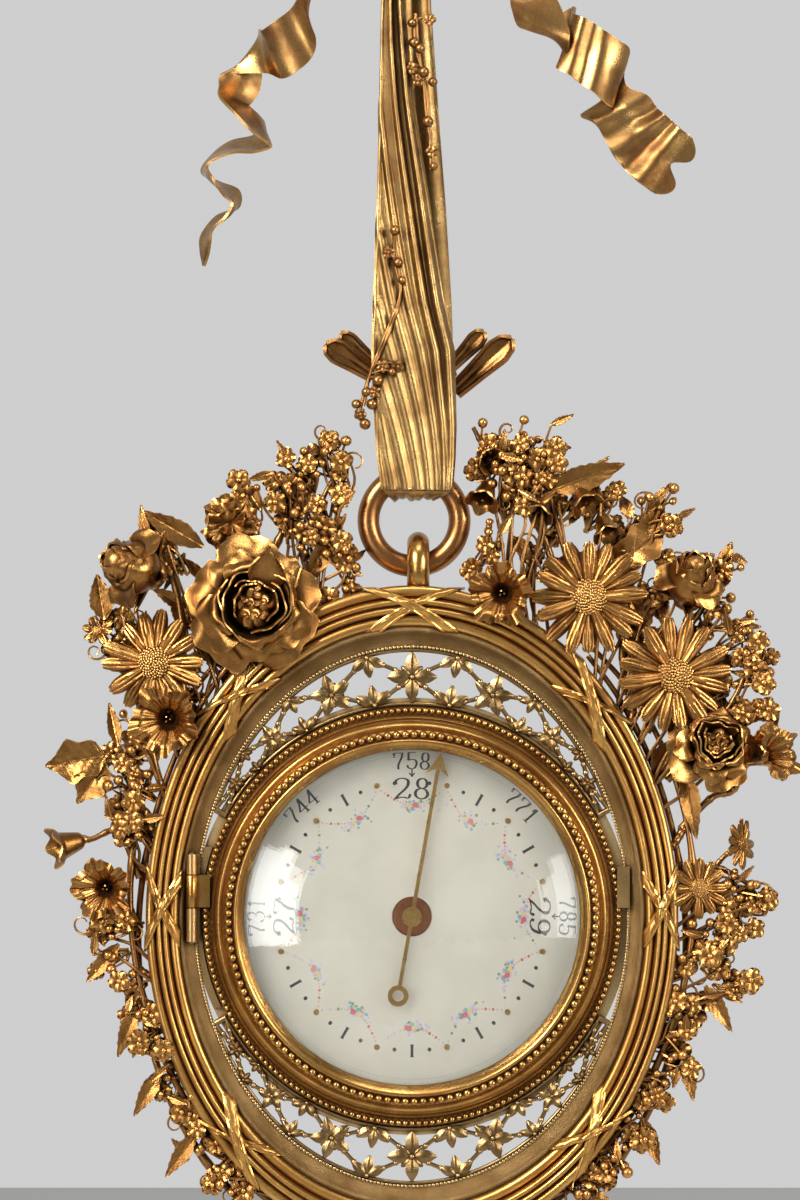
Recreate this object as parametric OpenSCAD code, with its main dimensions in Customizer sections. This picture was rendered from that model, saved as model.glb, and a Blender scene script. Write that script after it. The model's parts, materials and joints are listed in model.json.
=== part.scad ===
// Wall barometer in gilt bronze. An oval reeded frame with a flower wreath hangs
// by a bail and a ring from a pleated strap, which falls from a ribbon bow.
// Each piece is drawn face up from the middle of the dial, x to the right, y up the
// wall and z towards the viewer. hung() stands it up, with the nail hole as origin.

/* [Oval frame] */
// Half the width of the moulding's middle line
frame_half_w = 71.4; // [71:0.2:72.4]
// Half the height of the moulding's middle line
frame_half_h = 88.9; // [87:0.5:92]
// Half the width of the reeded moulding
reed_half = 5.3; // [5:0.1:5.6]
// Height of the middle reeds above the back of the frame
reed_h = 7.6; // [7:0.2:9]

/* [Bezel and dial] */
// Outer radius of the glazed door
bezel_r = 60; // [59.6:0.1:60]
// Radius of the enamel dial
dial_r = 50; // [49:0.25:50]
// How far the glass bulges over the dial
glass_rise = 7.4; // [5:0.2:9]
// Radius that the tip of the hand reaches
hand_r = 47.3; // [42:0.1:47.3]
// Angle of the hand at rest, clockwise from the top
hand_rest = 10; // [0:1:20]

/* [Case] */
// Outer radius of the drum
drum_r = 56; // [55:0.5:56]
// Depth of the drum behind the dial
drum_depth = 20.5; // [20:0.5:24]

/* [Ring and strap] */
// Radius of the ring's middle line
ring_r = 13.1; // [13:0.1:14]
// Radius of the ring's wire
ring_wire = 3.15; // [2.8:0.05:3.15]
// Height of the ring's centre above the dial's centre
ring_y = 113.4; // [113:0.1:114]
// Radius of the bail's wire
bail_wire = 3.2; // [3:0.05:3.2]
// Thickness of the strap and the ribbons
ribbon_t = 0.9; // [0.8:0.1:1.2]

/* [Bow] */
// Height of the nail hole above the dial's centre
nail_y = 296; // [290:1:300]
// Radius of the nail hole
nail_r = 2.5; // [2:0.1:3]
// Reach of each loop of the bow
loop_reach = 54; // [45:1:58]
// Width of the bow's ribbon
loop_w = 17; // [13:1:19]

/* [Hidden] */

// Colours
gilt = "goldenrod";
old_gilt = "darkgoldenrod";
bronze = "peru";
brass = "khaki";
steel = "lightsteelblue";

// The oval is a round ring stretched upwards: its round radius and how far each way it is stretched
round_r = 80;
stretch_x = frame_half_w / round_r;
stretch_y = frame_half_h / round_r;

// Levels in front of and behind the wall side of the frame
wall_z = -21.5;
flange_t = 1;
cover_t = 1;
back_z = -drum_depth;
plate_z = back_z + 1.5;
plate_t = 1.4;
capsule_z = plate_z + plate_t;
door_gap = 0.3;
drum_wall = 1.2;
flange_r = 62.6;
band_out = -reed_half;
band_in = -11;
fret_out = band_in - 0.15;
fret_in_r = bezel_r + 0.6;
fret_t = 1.2;

// The door's hinge, which stands to the left of the bezel
hinge_x = -62.9;
hinge_z = 5.3;
knuckle_r = 1.5;
pin_r = 0.6;
barrel_y = [-7, 2.7, 12.1, 18];

// Where the ring and the bail hang
ring_x = 0.6;
ring_z = -3.5;
bail_x = ring_x + 1.2;
bail_r = ring_wire + 0.3 + bail_wire;
bail_y = ring_y - ring_r;

// Fit of a turning shaft in its hole
running = 0.05;

function unit(a) = a / norm(a);
function mix(a, b, t) = a + (b - a) * t;

// Distance from the oval's middle to a line that lies out beyond its middle line
function oval_radius(angle, out) =
    let(half_w = stretch_x * (round_r + out), half_h = stretch_y * (round_r + out))
    half_w * half_h / norm([half_h * cos(angle), half_w * sin(angle)]);
function oval_at(angle, out, z = 0) =
    let(r = oval_radius(angle, out))
    [r * cos(angle), r * sin(angle), z];

// Stands a piece up against the wall, with the nail hole as the origin
module hung() {
    translate([0, wall_z + cover_t, -nail_y])
        rotate([90, 0, 0])
            children();
}

// A ring whose section is given by points [radius, z]
module turned(points) {
    rotate_extrude($fn = 120)
        polygon(points);
}

// A flat bar from one point to another on the drawing plane
module bar(from, to, width, height) {
    along = to - from;
    translate([from[0], from[1], 0])
        rotate([0, 0, atan2(along[1], along[0])])
            translate([0, -width / 2, 0])
                cube([norm(along), width, height]);
}

// Faces of a grid of points, in rows that each have the same count and close on themselves
function ring_faces(rows, count, looped = false) = [
    for (j = [0:looped ? rows - 1 : rows - 2])
        for (i = [0:count - 1])
            let(k = (i + 1) % count, next = (j + 1) % rows)
            each [
                [j * count + i, j * count + k, next * count + k],
                [j * count + i, next * count + k, next * count + i]
            ]
];
function cap_faces(rows, count) = [
    for (i = [1:count - 2]) [0, i + 1, i],
    for (i = [1:count - 2])
        [(rows - 1) * count, (rows - 1) * count + i, (rows - 1) * count + i + 1]
];

// Sweeps a section round the oval, its points [out from the middle line, forwards]
module oval_sweep(section) {
    steps = 72;
    points = [
        for (j = [0:steps - 1])
            for (p = section)
                oval_at(360 * j / steps, p[0], p[1])
    ];
    polyhedron(points, ring_faces(steps, len(section), true));
}

// A round tube along a path, thinner at its end by the taper
module tube(path, radius, taper = 1, sides = 6) {
    rows = len(path);
    points = [
        for (j = [0:rows - 1])
            let(
                way = unit(path[min(j + 1, rows - 1)] - path[max(j - 1, 0)]),
                side = unit(cross(way, [0.05, 0.1, 1])),
                up = cross(side, way),
                r = radius * mix(1, taper, j / (rows - 1))
            )
            for (i = [0:sides - 1])
                path[j] + r * (cos(360 * i / sides) * side + sin(360 * i / sides) * up)
    ];
    polyhedron(points, concat(ring_faces(rows, sides), cap_faces(rows, sides)));
}

// A thin curved sheet, spot(u, v) being its middle, with u across and v along from 0 to 1
module sheet(spot, across, along, thick) {
    step = 0.02;
    function face_way(u, v) =
        let(
            a = spot(min(u + step, 1), v) - spot(max(u - step, 0), v),
            b = spot(u, min(v + step, 1)) - spot(u, max(v - step, 0))
        )
        unit(cross(a, b));
    count = 2 * (across + 1);
    points = [
        for (j = [0:along])
            for (i = [0:count - 1])
                let(
                    front = i <= across,
                    u = (front ? i : count - 1 - i) / across,
                    v = j / along
                )
                spot(u, v) + (front ? -0.5 : 0.5) * thick * face_way(u, v)
    ];
    caps = [
        for (i = [0:across - 1])
            each [
                [i, count - 1 - i, count - 2 - i],
                [i, count - 2 - i, i + 1]
            ]
    ];
    last = along * count;
    far_caps = [for (f = caps) [last + f[0], last + f[2], last + f[1]]];
    polyhedron(points, concat(ring_faces(along + 1, count), caps, far_caps));
}

// A ribbon through centre points, with half its width as a vector at each
module ribbon(middles, halves) {
    last = len(middles) - 1;
    function place(list, v) =
        let(i = min(floor(v * last), last - 1))
        mix(list[i], list[i + 1], v * last - i);
    sheet(function(u, v) place(middles, v) + (2 * u - 1) * place(halves, v), 2, last, ribbon_t);
}

// A flat petal in the drawing plane from the origin along x, notched at its tip
module petal(length, width, thick) {
    linear_extrude(thick)
        polygon([
            [0, -width * 0.2], [length * 0.6, -width / 2], [length * 0.9, -width * 0.38],
            [length, -width * 0.12], [length * 0.96, 0], [length, width * 0.12],
            [length * 0.9, width * 0.38], [length * 0.6, width / 2], [0, width * 0.2]
        ]);
}

// Petals all round a centre, each leaning forwards by the lift and twisted a little
module petal_ring(count, length, width, thick, lift = 6, start = 0) {
    for (i = [0:count - 1]) {
        rotate([0, 0, start + 360 * i / count])
            rotate([7 - 14 * (i % 2), -lift, 0])
                petal(length, width, thick);
    }
}

// A daisy seen from the front, its disc towards the viewer
module daisy(radius, count) {
    petal_ring(count, radius, 2 * PI * radius / count * 0.62, radius * 0.06, 5);
    translate([0, 0, -radius * 0.06])
        cylinder(h = radius * 0.26, r1 = radius * 0.38, r2 = radius * 0.24, $fn = 48);
}

// A small open blossom with five petals round a bead
module blossom(radius) {
    outline = [
        for (i = [0:4])
            for (corner = [[-26, 0.78], [-13, 1], [13, 1], [26, 0.78], [36, 0.45]])
                radius * corner[1] * [cos(72 * i + corner[0]), sin(72 * i + corner[0])]
    ];
    linear_extrude(radius * 0.3)
        polygon(outline);
    translate([0, 0, radius * 0.22])
        sphere(r = radius * 0.36, $fn = 32);
}

// One cupped petal of a rose, rising from the foot and curling out at its rim
module rose_petal(foot_r, reach, height, spread) {
    function spot(u, v) =
        let(
            side = (2 * u - 1) * spread * (0.55 + 0.45 * sin(150 * v + 10)),
            r = foot_r + reach * pow(v, 1.6)
        )
        [r * cos(side), r * sin(side), height * sin(115 * v)];
    sheet(function(u, v) spot(u, v), 3, 3, 0.8);
}

// An open rose built of nested rings of petals on a solid foot
module rose(radius, height) {
    rings = [[5, 0.34, 0.66, 0.55, 33], [5, 0.22, 0.5, 0.85, 33], [4, 0.12, 0.28, 1, 41]];
    for (k = [0:len(rings) - 1]) {
        for (i = [0:rings[k][0] - 1]) {
            rotate([0, 0, 360 * (i + k * 0.45) / rings[k][0]])
                rose_petal(rings[k][1] * radius, rings[k][2] * radius, rings[k][3] * height, rings[k][4]);
        }
    }
    translate([0, 0, -1.5])
        cylinder(h = height * 0.3, r1 = radius * 0.36, r2 = radius * 0.5, $fn = 64);
    translate([0, 0, height * 0.3])
        sphere(r = radius * 0.14, $fn = 32);
}

// Stacked rings, each by its share of the radius, its share of the length and the depth of its lobes
module lobed(radius, length, lobes, steps, rings) {
    points = [
        for (ring = rings)
            for (i = [0:steps - 1])
                let(
                    a = 360 * i / steps,
                    r = radius * ring[0] * (1 + ring[2] * cos(lobes * a))
                )
                [r * cos(a), -r * sin(a), length * ring[1]]
    ];
    polyhedron(points, concat(ring_faces(len(rings), steps), cap_faces(len(rings), steps)));
}

// A flared trumpet of a flower, its mouth towards +z
module trumpet(radius, length) {
    lobed(radius, length, 5, 20, [
        [0.2, 0, 0], [0.38, 0.55, 0], [0.93, 0.84, 0.1],
        [0.96, 0.94, 0.1], [0.42, 0.74, 0.05], [0.12, 0.5, 0]
    ]);
}

// A small bell of a flower, its mouth towards +z
module bell(radius, length) {
    cylinder(h = length * 0.6, r1 = radius * 0.2, r2 = radius * 0.6, $fn = 48);
    translate([0, 0, length * 0.55])
        cylinder(h = length * 0.45, r1 = radius * 0.55, r2 = radius, $fn = 48);
}

// A pointed leaf from the origin along x, folded up at its sides
module leaf(length, width) {
    for (side = [-1, 1]) {
        hull() {
            cylinder(h = 0.9, r = 0.4, $fn = 4);
            translate([length * 0.42, side * width * 0.4, width * 0.12])
                cylinder(h = 0.9, r = width * 0.1, $fn = 4);
            translate([length * 0.5, 0, 0])
                cylinder(h = 1, r = 0.5, $fn = 4);
            translate([length - 0.4, 0, width * 0.1])
                cylinder(h = 0.8, r = 0.4, $fn = 4);
        }
    }
}

// Puts a flower at a place on the drawing plane, turned in the plane and leaning back
module put(place, turn = 0, lean = 0) {
    translate(place)
        rotate([0, 0, turn])
            rotate([0, lean, 0])
                children();
}

// The plate behind the bow, with the hole for the nail and a boss that the knot sits on
module hanger_plate() {
    color(bronze)
        hung()
            translate([0, nail_y, wall_z])
                difference() {
                    union() {
                        for (end = [7, -17]) {
                            translate([0, end, 0])
                                cylinder(h = 2, r = 8, $fn = 64);
                        }
                        translate([-8, -17, 0])
                            cube([16, 24, 2]);
                        translate([0, -14, 0])
                            cylinder(h = 9, r = 4, $fn = 64);
                    }
                    translate([0, 0, -1])
                        cylinder(h = 4, r = nail_r, $fn = 64);
                }
}

// The gathered knot that holds the loops, the tails and the strap together
module bow_knot() {
    color(gilt)
        hung()
            for (i = [-2:2]) {
                translate([i * 3.6, nail_y - 10, -11.5])
                    hull() {
                        translate([0, 11 - abs(i), 0])
                            sphere(r = 3.4, $fn = 8);
                        translate([i * 0.3, 0, 3])
                            sphere(r = 4, $fn = 8);
                        translate([0, -11 + abs(i), 0])
                            sphere(r = 3.4, $fn = 8);
                    }
            }
}

// One loop of the bow, which leaves the knot in front, turns at its end and comes back behind
module bow_loop(side) {
    foot_x = 6;
    rise = 22;
    knot_y = nail_y - 10;
    function spot(u, v) =
        let(
            a = 360 * v,
            out = (1 - cos(a)) / 2,
            width = mix(5, loop_w, sin(180 * v))
        )
        [
            side * mix(foot_x, loop_reach, out),
            knot_y + rise * out - 6 * sin(a) + (2 * u - 1) * width / 2,
            -10.5 + 8 * sin(a) + 1.2 * sin(5 * a)
        ];
    color(gilt)
        hung()
            sheet(function(u, v) spot(u, v), 2, 24, ribbon_t);
}

module bow_loop_left() { bow_loop(-1); }
module bow_loop_right() { bow_loop(1); }

// The left tail: a face-on curl, then short waves seen from their edge
module ribbon_tail_left() {
    middles = [
        [-10, 281, -11], [-20, 275, -7], [-30, 267, -3], [-33, 258, -1], [-35, 251, -5],
        [-42, 255, -10], [-50, 249, -9], [-55, 241, -7], [-52, 233, -5], [-46, 227, -3],
        [-47, 220, -6], [-56, 218, -9], [-59, 210, -8], [-53, 206, -6], [-50, 201, -5],
        [-55, 195, -7], [-60, 191, -8], [-60, 187, -8]
    ];
    halves = [
        [2, 3, 1], [5, 5, 1], [6, 5, 2], [6, 4, -1], [6, 4, -3],
        [3, 3, 5], [1, 3, 6], [1, 1, 6], [2, 1, 6], [5, 1, 5],
        [4, 2, 5], [1, 2, 5], [1, 1, 5], [1, 1, 5], [2, 0, 4],
        [1, 1, 4], [0, 1, 3], [1, 0, 1]
    ];
    color(gilt)
        hung()
            ribbon(middles, halves);
}

// The right tail: two face-on panels, a curl and a corrugated end
module ribbon_tail_right() {
    middles = [
        [10, 281, -11], [20, 275, -8], [28, 268, -4], [34, 256, -2], [40, 251, -6],
        [43, 249, -4], [50, 245, 0], [57, 241, -1], [60, 238, -6], [54, 234, -9],
        [53, 231, -5], [57, 229, -2], [62, 224, -4], [67, 219, -2], [73, 213, -4], [77, 210, -3]
    ];
    halves = [
        [2, -3, 1], [5, -4, 1], [7, -4, 1], [7, -1, -1], [4, 6, -2],
        [1, 8, -1], [2, 8, 0], [2, 8, 1], [2, 7, 1], [3, 5, 2],
        [5, 5, 2], [6, 5, 1], [6, 6, 0], [6, 6, 0], [5, 7, 0], [4, 6, 0]
    ];
    color(gilt)
        hung()
            ribbon(middles, halves);
}

// The pleated strap: a front ply down to the ring, a fold under its wire and a ply back up
module hanging_strap() {
    pleats = 5;
    top_y = nail_y - 14;
    fold_y = ring_y + 9;
    fold_drop = 2.6;
    ply_z = 5.2;
    front_left = [[120, -8.4], [140, -10.2], [162, -11.6], [205, -10], [262, -8.6], [282, -6]];
    front_right = [[120, 11.2], [140, 12.4], [162, 12], [205, 5.1], [262, -2], [282, -1]];
    rear_left = [[120, -7], [162, -6], [262, -3], [282, -3]];
    rear_right = [[120, 10.5], [150, 12.2], [176, 11.4], [205, 9.7], [262, 5.4], [282, 5]];
    turn_start = 0.46;
    turn_end = 0.62;
    function gather(a) = 5.8 + 4 * pow(abs(cos(a)), 3);
    function pleat(u, y) = 0.7 * sin(360 * (pleats * u + y / 60)) * (y < fold_y ? 0.4 : 1);
    function ply(u, y, z, left, right) = [
        mix(lookup(y, left), lookup(y, right), u),
        y,
        z + pleat(u, y)
    ];
    function fold(u, a) =
        let(
            half = gather(a),
            shift = ring_x + 0.9 * pow(cos(a), 2)
        )
        [shift + (2 * u - 1) * half, fold_y - fold_drop * sin(a), ring_z + ply_z * cos(a)];
    function spot(u, v) =
        v < turn_start
            ? let(t = v / turn_start, y = mix(top_y, fold_y, t))
                ply(u, y, mix(-6, ring_z + ply_z + 0.4, min(1, t * 1.4)), front_left, front_right)
            : v < turn_end
                ? fold(u, 180 * (v - turn_start) / (turn_end - turn_start))
                : let(t = (v - turn_end) / (1 - turn_end), y = mix(fold_y, top_y, t))
                    ply(u, y, mix(ring_z - ply_z - 1, -13, t), rear_left, rear_right);
    color(gilt)
        hung()
            sheet(function(u, v) spot(u, v), 4 * pleats, 26, ribbon_t);
}

// The ends of the wreath's stems, cut across and showing behind the strap
module cut_stems() {
    color(old_gilt)
        hung() {
            for (k = [0:1]) {
                tube([[3, 148 - k, -10], [-11, 155, -10.5], [-19, 160 + 3 * k, -10], [-25 + 3 * k, 166, -9]],
                     1.4, 1.9);
                tube([[-2, 146 + k, -11], [13, 153, -11], [21, 160 - k, -10.5], [30 - 3 * k, 167, -9.5]],
                     1.5, 2.1);
            }
            for (side = [-1, 1]) {
                tube([[side * 12, 155, -10.5], [side * 6, 175, -11], [side * 3, 200, -11.5]], 1.2, 0.5);
            }
        }
}

// Twigs with buds that climb the strap
module strap_sprig() {
    low_buds = [[-4.9, 196], [-6.9, 190], [-4, 187], [-2.9, 182], [-9, 158], [-9.5, 151], [-13, 149], [-7, 152]];
    high_buds = [[0, 259], [5, 257], [1, 249], [0, 242], [3, 240], [6, 238], [5, 228], [6, 214]];
    color(old_gilt)
        hung() {
            tube([[-5, 197, 4], [-5, 188, 5], [-3.4, 178, 6.4], [-7, 166, 6.4], [-12, 155, 5.6],
                  [-14.6, 146, 4]], 0.7, 1);
            tube([[2, 262, -6], [1, 250, -5], [4, 238, -4], [5, 226, -4.5], [5.5, 214, -6]], 0.7, 0.8);
            for (k = [0:len(low_buds) - 1]) {
                translate([low_buds[k][0], low_buds[k][1], low_buds[k][1] > 160 ? 5.4 : 6])
                    sphere(r = 1.9, $fn = 8);
            }
            for (k = [0:len(high_buds) - 1]) {
                translate([high_buds[k][0], high_buds[k][1], -4.4])
                    sphere(r = 1.6, $fn = 8);
            }
        }
}

// The ring that the strap is folded over
module suspension_ring() {
    color(bronze)
        hung()
            translate([ring_x, ring_y, ring_z])
                rotate_extrude($fn = 96)
                    translate([ring_r, 0])
                        circle(r = ring_wire, $fn = 48);
}

// The loop on top of the frame, round the ring's lowest point
module bail() {
    color(gilt)
        hung()
            translate([bail_x, bail_y, ring_z])
                rotate([0, 90, 0])
                    rotate_extrude($fn = 96)
                        translate([bail_r, 0])
                            circle(r = bail_wire, $fn = 48);
}

// The oval moulding: a thick reed each side and two narrow ones raised between
module reeded_frame() {
    color(gilt)
        hung()
            oval_sweep([
                [-reed_half, 0], [-reed_half, 4.6], [-4.6, 5.7], [-3.2, 5.8], [-2.2, 4.9],
                [-1.8, reed_h - 0.7], [-0.9, reed_h], [0, reed_h - 0.8], [0.9, reed_h],
                [1.8, reed_h - 0.7], [2.2, 4.9], [3.2, 5.8], [4.6, 5.7], [reed_half, 4.6], [reed_half, 0]
            ]);
}

// Eight pairs of crossed ribbons laid over the moulding
module ribbon_ties() {
    places = [90, 50, 128, 2, 178, 232, 310, 270];
    half_span = 7.8;
    half_w = 1.85;
    over = [[reed_half + 0.4, 1], [reed_half + 0.3, 5], [3, 6.8], [0, reed_h + 0.5], [-3, 6.8],
            [-reed_half - 0.3, 5]];
    last = len(over) - 1;
    color(gilt)
        hung()
            for (angle = places) {
                for (way = [-1, 1]) {
                    along = [-sin(angle), cos(angle), 0];
                    sheet(function(u, v)
                              let(k = min(floor(v * last), last - 1), spot = mix(over[k], over[k + 1], v * last - k))
                              oval_at(angle + way * half_span * (1 - 2 * v), spot[0], spot[1] + 0.46 * way)
                              + (2 * u - 1) * half_w * along,
                          1, last, 0.8);
                }
            }
}

// The matt band inside the moulding, which slopes down to the fret
module inner_band() {
    color(bronze)
        hung()
            oval_sweep([
                [band_in, flange_t], [band_in, 1.8], [band_out - 0.9, 4.6],
                [band_out, 4.4], [band_out, flange_t]
            ]);
}

// A pointed petal of the fret
module fret_petal(length, width) {
    linear_extrude(fret_t + 0.6)
        polygon([[0, -width * 0.2], [length * 0.36, -width / 2], [length, 0],
                 [length * 0.36, width / 2], [0, width * 0.2]]);
}

// Middle of the fret at an angle, and the width that it has there
function fret_gap(angle) = oval_radius(90 - angle, fret_out) - fret_in_r;
function fret_spot(angle, share) =
    let(r = fret_in_r + share * fret_gap(angle))
    [r * sin(angle), r * cos(angle)];

// One arch of the pierced fret: crossed bars, star flowers and half flowers on both rims
module fret() {
    full = [0, 20, 38, 53];
    half = [10, 29.5, 46];
    end_angle = 62;
    bar_w = 1.1;
    rim_w = 0.8;
    stars = concat([for (a = full) if (a > 0) -a], full);
    fans = concat([for (a = half) -a], half);
    translate([0, 0, flange_t]) {
        intersection() {
            difference() {
                oval_plate(fret_out, fret_t);
                translate([0, 0, -1])
                    oval_plate(fret_out - rim_w, fret_t + 2);
            }
            fret_wedge(end_angle);
        }
        intersection() {
            difference() {
                cylinder(h = fret_t, r = fret_in_r + rim_w, $fn = 120);
                translate([0, 0, -1])
                    cylinder(h = fret_t + 2, r = fret_in_r, $fn = 120);
            }
            fret_wedge(end_angle);
        }
        for (side = [-1, 1]) {
            bar(fret_spot(side * (end_angle - 1), 0.1), fret_spot(side * (end_angle - 1), 0.9), 3, fret_t);
            for (k = [0:len(half) - 1]) {
                for (share = [0.06, 0.94]) {
                    bar(fret_spot(side * full[k], 0.5), fret_spot(side * half[k], share), bar_w, fret_t);
                    bar(fret_spot(side * half[k], share), fret_spot(side * full[k + 1], 0.5), bar_w, fret_t);
                }
            }
        }
        for (a = stars) {
            reach = fret_gap(a) * 0.43;
            count = a == 0 ? 4 : 5;
            translate([fret_spot(a, 0.5)[0], fret_spot(a, 0.5)[1], 0])
                for (i = [0:count - 1]) {
                    rotate([0, 0, 90 - a + 360 * i / count])
                        fret_petal(reach, reach * 0.62);
                }
        }
        for (a = fans) {
            for (rim = [0, 1]) {
                reach = fret_gap(a) * 0.36;
                translate([fret_spot(a, rim * 0.92 + 0.04)[0], fret_spot(a, rim * 0.92 + 0.04)[1], 0])
                    for (fan = [-50, 0, 50]) {
                        rotate([0, 0, 90 - a + fan + 180 * rim])
                            fret_petal(reach, reach * 0.5);
                    }
            }
        }
    }
}

// A flat oval out to a line beside the moulding's middle line
module oval_plate(out, height) {
    scale([stretch_x, stretch_y, 1])
        cylinder(h = height, r = round_r + out, $fn = 180);
}

// A wedge about the upward direction
module fret_wedge(half_angle) {
    reach = 120;
    translate([0, 0, -1])
        linear_extrude(fret_t + 2)
            polygon([[0, 0], [-reach * tan(half_angle), reach], [reach * tan(half_angle), reach]]);
}

module fret_upper() {
    color(old_gilt)
        hung()
            fret();
}
module fret_lower() {
    color(old_gilt)
        hung()
            rotate([0, 0, 180])
                fret();
}

// One knuckle of the door's hinge, bored for the pin
module knuckle(low, high, hole) {
    translate([hinge_x, low, hinge_z])
        rotate([-90, 0, 0])
            difference() {
                cylinder(h = high - low, r = knuckle_r, $fn = 48);
                translate([0, 0, -1])
                    cylinder(h = high - low + 2, r = hole, $fn = 48);
            }
}

// The crescent plate at the left of the bezel, with the two fixed knuckles
module hinge_plate() {
    plate_h = 1.6;
    color(bronze)
        hung() {
            difference() {
                translate([0, 0, flange_t])
                    intersection() {
                        cylinder(h = plate_h, r = 62.4, $fn = 120);
                        translate([-66, -26, 0])
                            cube([12, 46, plate_h]);
                        oval_plate(fret_out, plate_h);
                    }
                cylinder(h = 10, r = bezel_r + 0.4, $fn = 120);
            }
            for (span = [[barrel_y[0], barrel_y[1] - 0.2], [barrel_y[2] + 0.2, barrel_y[3]]]) {
                knuckle(span[0], span[1], pin_r);
                difference() {
                    translate([hinge_x - 0.7, span[0], 1.6])
                        cube([2.9, span[1] - span[0], 2.6]);
                    translate([hinge_x, span[0] - 1, hinge_z])
                        rotate([-90, 0, 0])
                            cylinder(h = span[1] - span[0] + 2, r = knuckle_r - 0.2, $fn = 48);
                }
            }
        }
}

// The pin of the door's hinge, fast in the fixed knuckles
module hinge_pin() {
    color(brass)
        hung()
            translate([hinge_x, barrel_y[0] - 0.4, hinge_z])
                rotate([-90, 0, 0])
                    cylinder(h = barrel_y[3] - barrel_y[0] + 0.8, r = pin_r, $fn = 48);
}

// Two stems that wind round each other up one side, outside the moulding
module wreath_stems(side) {
    for (k = [0:1]) {
        path = [
            for (i = [0:22])
                let(t = i / 22, angle = -96 + 152 * t)
                oval_at(side > 0 ? angle : 180 - angle, 9 + 2.6 * sin(330 * t + 180 * k),
                        -0.5 + 2 * cos(330 * t + 180 * k))
        ];
        tube(path, 1.3, 0.6);
    }
    // Props from the moulding to the stems
    for (angle = [-70, -42, -14, 14, 40]) {
        turn = side > 0 ? angle : 180 - angle;
        tube([oval_at(turn, 3, 1.6), oval_at(turn + 2 * side, 7, 1.2), oval_at(turn + 4 * side, 10, 0.5)], 1.2);
    }
}

module wreath_stems_left() {
    color(bronze)
        hung() {
            wreath_stems(-1);
            tube([oval_at(124, 9, -1), [-40, 104, -2], [-34, 116, -1], [-28, 128, 0], [-23, 137, 1]], 1.3, 0.5);
            tube([oval_at(124, 9, 0), [-30, 100, 0], [-22, 106, 0], [-26, 117, 1], [-21, 128, 1]], 1.1, 0.6);
            tube([oval_at(140, 9, 0), [-66, 84, -1], [-70, 100, 0], [-77, 104, 1]], 1.2, 0.8);
            tube([oval_at(152, 8, 0), [-80, 66, 0], [-88, 80, 1], [-91, 86, 1]], 1.1, 0.6);
            tube([oval_at(160, 8, 0), [-85, 44, -1], [-92, 38, 0], [-98, 44, 1]], 1.1, 0.6);
            tube([oval_at(172, 8, 0), [-84, 24, -1], [-92, 22, 0], [-100, 21, 1]], 1.1, 0.6);
            tube([oval_at(184, 8, 0), [-82, 4, -1], [-89, 0, 0], [-92, -6, 1]], 1.1, 0.6);
        }
}
module wreath_stems_right() {
    color(bronze)
        hung() {
            wreath_stems(1);
            tube([oval_at(60, 9, -1), [38, 108, -2], [30, 122, -1], [22, 132, 0], [17.5, 140, 1]], 1.3, 0.5);
            tube([oval_at(56, 9, 0), [44, 104, 0], [40, 118, 0], [38, 130, 1]], 1.1, 0.6);
            tube([oval_at(46, 9, 0), [60, 96, -1], [68, 108, 0], [71, 117, 1]], 1.1, 0.8);
            tube([oval_at(38, 9, 0), [78, 80, -1], [84, 90, 0], [86, 104, 1]], 1.2, 0.6);
            tube([oval_at(28, 9, 0), [88, 56, 0], [94, 66, 1], [97, 76, 1]], 1.1, 0.6);
            tube([oval_at(18, 9, 0), [86, 34, -1], [94, 36, 0], [101, 42, 1]], 1.1, 0.6);
            tube([oval_at(8, 9, 0), [86, 14, -1], [92, 12, 0], [98, 8, 1]], 1.1, 0.6);
            tube([oval_at(-6, 9, 0), [84, -10, -1], [89, -16, 0], [93, -23, 1]], 1.1, 0.6);
        }
}

// The big rose at the upper left
module large_rose() {
    color(gilt)
        hung()
            put([-44.9, 89.4, 5], 20)
                rose(20, 15);
}

// The rose at the right, turned half away
module side_rose() {
    color(gilt)
        hung()
            put([85.5, 46.5, 2], 70, 24)
                scale([1.25, 1, 1])
                    rose(12.4, 13);
}

// A half open rosebud: a closed heart in five petals, with sepals under it
module rosebud(radius, length) {
    translate([0, 0, length * 0.46])
        scale([1, 1, 1.5])
            sphere(r = radius * 0.36, $fn = 48);
    translate([0, 0, -1.5])
        cylinder(h = 4, r1 = radius * 0.24, r2 = radius * 0.5, $fn = 48);
    for (i = [0:4]) {
        rotate([0, 0, 72 * i])
            rose_petal(radius * 0.4, radius * 0.5, length * 0.86, 33);
    }
    petal_ring(5, radius * 1.1, radius * 0.3, 0.8, 18, 36);
}

// Half open rosebuds at the upper left and right
module rosebuds() {
    color(gilt)
        hung() {
            put([-74, 98, 1], 160, 50)
                rosebud(11, 17);
            put([79, 91, 1], 80, 44)
                rosebud(10, 16);
        }
}

module daisy_left() {
    color(gilt)
        hung()
            put([-73.6, 72.6, 5.2], 4, -8)
                daisy(15, 14);
}
module daisies_right() {
    color(gilt)
        hung() {
            put([50.3, 91.4, 7.6], 0, 4)
                daisy(17, 16);
            put([74.9, 69.1, 7], 8, 8)
                daisy(17, 16);
        }
}
module small_daisies() {
    color(gilt)
        hung() {
            put([82, 8.3, 5], 0, 8)
                daisy(9.2, 11);
            put([94.5, 20.6, 2], 0, 56)
                daisy(7.6, 10);
            put([-90, 82, 1], 120, 40)
                daisy(5, 8);
        }
}

// Open trumpets: two at the left, one at the upper right, one in the right spray
module trumpet_flowers() {
    color(gilt)
        hung() {
            put([-68.3, 57.1, 2], 200, 14)
                trumpet(8.6, 10);
            put([-86, 9, 1], 200, 18)
                trumpet(7.6, 9);
            put([26.6, 93.1, 3], 210, 12)
                trumpet(8, 9);
            put([96, 44, 0], 20, 50)
                trumpet(7.4, 12);
        }
}

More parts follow.
